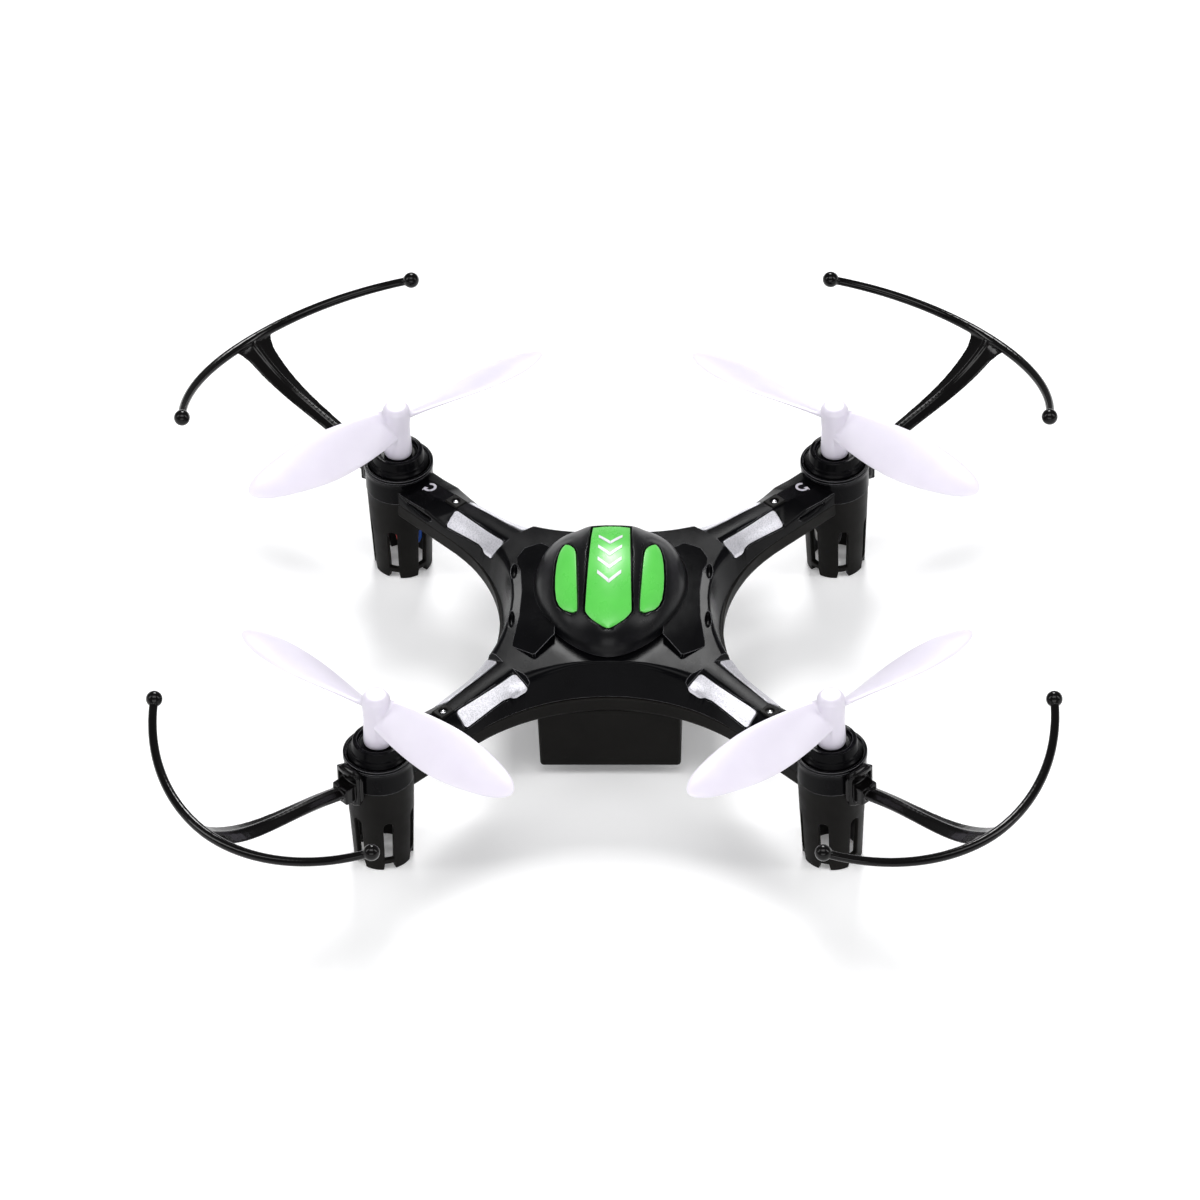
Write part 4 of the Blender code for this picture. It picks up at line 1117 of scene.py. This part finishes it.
def guard_clip():
    """The plate that snaps on the pod, with a raised frame and a socket for the strut."""
    wide, narrow = CLIP_HALF_ANGLE, 0.66 * CLIP_HALF_ANGLE
    plate = clip_arc((-wide, wide), CLIP_LOW, CLIP_HIGH, CLIP_OUTER - 0.6, 1.6)
    ribs = [clip_arc((side * narrow, side * (narrow + 0.09)), CLIP_LOW + 0.5, CLIP_HIGH - 0.5, CLIP_OUTER)
            for side in (-1, 1)]
    lips = [clip_arc((-narrow, narrow), low, low + 0.8, CLIP_OUTER)
            for low in (CLIP_LOW + 0.3, CLIP_HIGH - 1.1)]
    socket = block((CLIP_OUTER - 1, -1.55, 14.9), (CLIP_OUTER + 1.3, 1.55, 17.7))
    return [plate, *ribs, *lips, socket]


def make_guards():
    rise = BOW_REACH - BOW_END_REACH
    radius = (BOW_END_SIDE ** 2 + rise ** 2) / (2 * rise)
    span = asin(BOW_END_SIDE / radius)
    steps = 72
    rings = []
    for k in range(steps + 1):
        share = 2 * k / steps - 1
        spoke = Vector((cos(share * span), sin(share * span), 0))
        middle = Vector((BOW_REACH - radius, 0, BOW_LOW + (BOW_HIGH - BOW_LOW) * abs(share) ** 1.8))
        thick = 0.78 - 0.12 * abs(share)
        rings.append([middle + spoke * (radius + thick * cos(t)) + Vector((0, 0, thick * sin(t)))
                      for t in (pi / 8 * i for i in range(16))])
    bow = loft(rings)
    balls = bmesh.new()
    for side in (-1, 1):
        blob((BOW_END_REACH, side * BOW_END_SIDE, BOW_HIGH), (1.25, 1.25, 1.25), balls)
    guard = finished(bow, joins=[balls, guard_strut(), *guard_clip()], voxel=0.13)
    put_on_motors(("guard", guard, "guard_black", "airframe", "prop_guard_{}"))


# Wires, battery and screws

def put_wire(name, points, colour, node):
    put(name, mesh_of(tube(smooth_path(points, 8), 0.26)), f"wire_{colour}", "airframe", node)


def make_wires():
    """Two leads from each motor along its arm to the board, and two from the battery's socket."""
    loops = {"front": ((46.9, 6.9), (45.4, 6.6), (44.15, 8.3)),
             "rear": ((47.5, 6.0), (46.9, 4.6), (45.3, 4.4), (44.3, 5.9), (44.1, 8.6))}
    trunk = ((44, 13.4), (43.5, 14.6), (42, 15), (16.5, 14.5), (13.6, 14.9))
    for node in sorted(frame["nodes"]):
        if node.startswith("motor_wire_"):
            colour, corner = node.removeprefix("motor_wire_").split("_", 1)
            side = -1 if colour in ("black", "blue") else 1
            route = ((47.38, 8.1), *loops[corner.split("_")[0]], *trunk)
            points = [on_arm(corner, along, side * 0.95, z) for along, z in route]
            put_wire(f"lead_{colour}_{corner}", points, colour, node)
    route = ((-13.4, 9.5), (-13.4, 12.6), (-12.6, 14.1), (-10.9, 14.4), (-10.3, 14.9))
    for side, colour in ((-1, "red"), (1, "black")):
        points = [Vector((side, y, z)) for y, z in route]
        put_wire(f"supply_{colour}", points, colour, f"battery_lead_{colour}")


def make_battery():
    """A foil pouch with folded side seams, a tape band and its plug."""
    low, high = CELL_LOW, CELL_HIGH
    middle_z = (low.z + high.z) / 2
    rings = []
    for k in range(29):
        share = k / 28
        puff = min(1.0, sin(pi * min(max(share, 0.002), 0.998)) * 6) ** 0.4
        ring = []
        for i in range(40):
            c, s = cos(2 * pi * i / 40), sin(2 * pi * i / 40)
            x = (high.x - 0.25) * copysign(abs(c) ** 0.35, c)
            z = (high.z - middle_z) * (0.8 + 0.2 * puff) * copysign(abs(s) ** 0.4, s)
            ring.append(Vector((x * (0.97 + 0.03 * puff), low.y + (high.y - low.y) * share, middle_z + z)))
        rings.append(ring)
    put("battery_pouch", finished(loft(rings), smooth=50), "battery_foil", "battery", "battery_cell")
    seams = bmesh.new()
    for side in (-1, 1):
        x = side * (high.x - 0.2)
        block((x - 0.18, low.y + 0.6, middle_z - 2.2), (x + 0.18, high.y - 0.6, middle_z + 0.4), seams)
    put("battery_seams", finished(seams, bevel=0.12), "battery_foil", "battery")
    wide, narrow = high.x - 0.05, high.x - 0.5
    outline = ((-wide, low.z + 0.5), (-narrow, low.z + 0.02), (narrow, low.z + 0.02), (wide, low.z + 0.5),
               (wide, high.z - 0.5), (narrow, high.z - 0.02), (-narrow, high.z - 0.02), (-wide, high.z - 0.5))
    band = loft([[Vector((x, y, z)) for x, z in outline] for y in (high.y - 4.6, high.y - 0.35)])
    put("battery_band", finished(band, bevel=0.12), "wire_blue", "battery")
    holes = bmesh.new()
    for x in (-0.9, 0.9):
        block((x - 0.32, PLUG_LOW.y - 1, middle_z - 0.35),
              (x + 0.32, PLUG_LOW.y + 1.4, middle_z + 0.35), holes)
    plug = finished(block(PLUG_LOW, PLUG_HIGH), cuts=[holes], bevel=0.1)
    put("plug_body", plug, "ivory_plastic", "battery", "battery_plug")


def make_screws():
    low, high = SCREW_LOW, SCREW_HIGH
    outline = [(0, low), (0.75, low), (1.1, low + 0.3), (1.2, low + 0.6), (1.2, low + 0.9), (0.5, low + 0.9),
               (0.5, high - 0.4), (0, high)]
    cross = [block((-x, -y, low - 0.5), (x, y, low + 0.45)) for x, y in ((0.62, 0.16), (0.16, 0.63))]
    head = finished(lathe(outline, 40), cuts=cross, smooth=30)
    for corner in CORNERS:
        a, b = box_of(f"shell_screw_{corner}")
        put(f"screw_{corner}", head, "screw_steel", "airframe", f"shell_screw_{corner}",
            place=((a.x + b.x) / 2, (a.y + b.y) / 2, 0), turn=0.4 * CORNERS[corner][0])


def finish_inner_parts():
    """CAD nodes that stay as they are take the look of their slot."""
    for entry in frame["record"]["subparts"]:
        node = frame["nodes"][entry["node"]]
        if not node.hide_render:
            node.data.materials.clear()
            node.data.materials.append(LOOKS[entry["material_slot"]])


# Studio

def make_camera():
    """A long lens above and in front of the nose, tipped and turned a little."""
    elevation, yaw, roll = radians(40.56), radians(-2.74), radians(1.80)
    distance, aside, lift = 1.369, 1.61 * MM, -15.63 * MM
    right = Vector((1, 0, 0))
    up = Vector((0, sin(elevation), cos(elevation)))
    ahead = Vector((0, cos(elevation), -sin(elevation)))
    place = -aside * right - lift * up - distance * ahead
    x_axis = cos(roll) * right - sin(roll) * up
    y_axis = sin(roll) * right + cos(roll) * up
    turn = Matrix((x_axis, y_axis, -ahead)).transposed().to_4x4()
    data = bpy.data.cameras.new("camera")
    data.lens = 270
    data.sensor_width = 36
    data.clip_end = 20
    camera = show("camera", data)
    camera.matrix_world = Matrix.Rotation(-yaw, 4, "Z") @ Matrix.Translation(place) @ turn
    bpy.context.scene.camera = camera


def softbox(name, azimuth, elevation, distance, size, power):
    """A rectangular light aimed at the object. Azimuth 0 is on the camera's side, 90 on the right."""
    a, e = radians(azimuth), radians(elevation)
    way = Vector((sin(a) * cos(e), -cos(a) * cos(e), sin(e)))
    data = bpy.data.lights.new(name, "AREA")
    data.shape = "RECTANGLE"
    data.size, data.size_y = size
    data.energy = power
    light = show(name, data)
    light.location = way * distance
    light.rotation_mode = "QUATERNION"
    light.rotation_quaternion = (-way).to_track_quat("-Z", "Y")


def make_studio():
    scene = bpy.context.scene
    world = bpy.data.worlds.new("studio")
    world.use_nodes = True
    world.node_tree.nodes["Background"].inputs["Color"].default_value = (0.97, 0.98, 1.0, 1)
    world.node_tree.nodes["Background"].inputs["Strength"].default_value = 0.22
    scene.world = world
    scene.view_settings.view_transform = "Standard"
    softbox("key", 0, 70, 0.9, (0.7, 0.35), 3.5)
    softbox("front", 0, 18, 1.0, (0.9, 0.3), 2.6)
    softbox("left", -82, 34, 0.9, (0.14, 0.6), 1.9)
    softbox("right", 82, 34, 0.9, (0.14, 0.6), 1.9)
    softbox("back", 180, 45, 0.9, (0.25, 0.26), 5.0)
    half, under = 3.0, 0.00002
    mesh = bpy.data.meshes.new("floor")
    corners = [(x * half, y * half, -under) for x, y in ((-1, -1), (1, -1), (1, 1), (-1, 1))]
    mesh.from_pydata(corners, [], [(0, 1, 2, 3)])
    look = Look("floor")
    look.feed(Base_Color=look.ramp(look.noise(0.004), (0.3, (0.90, 0.90, 0.905)), (0.7, 0.92)))
    look.fix(Roughness=0.6, Emission_Color=(1, 1, 1, 1), Emission_Strength=0.15)
    mesh.materials.append(look.material)
    floor = show("floor", mesh)


LOOKS = make_looks()
make_camera()
make_studio()
make_upper_shell()
make_side_panels()
make_pods()
make_arm_details()
make_lower_shell()
make_canopy()
make_motors()
make_propellers()
make_guards()
make_wires()
make_battery()
make_screws()
finish_inner_parts()
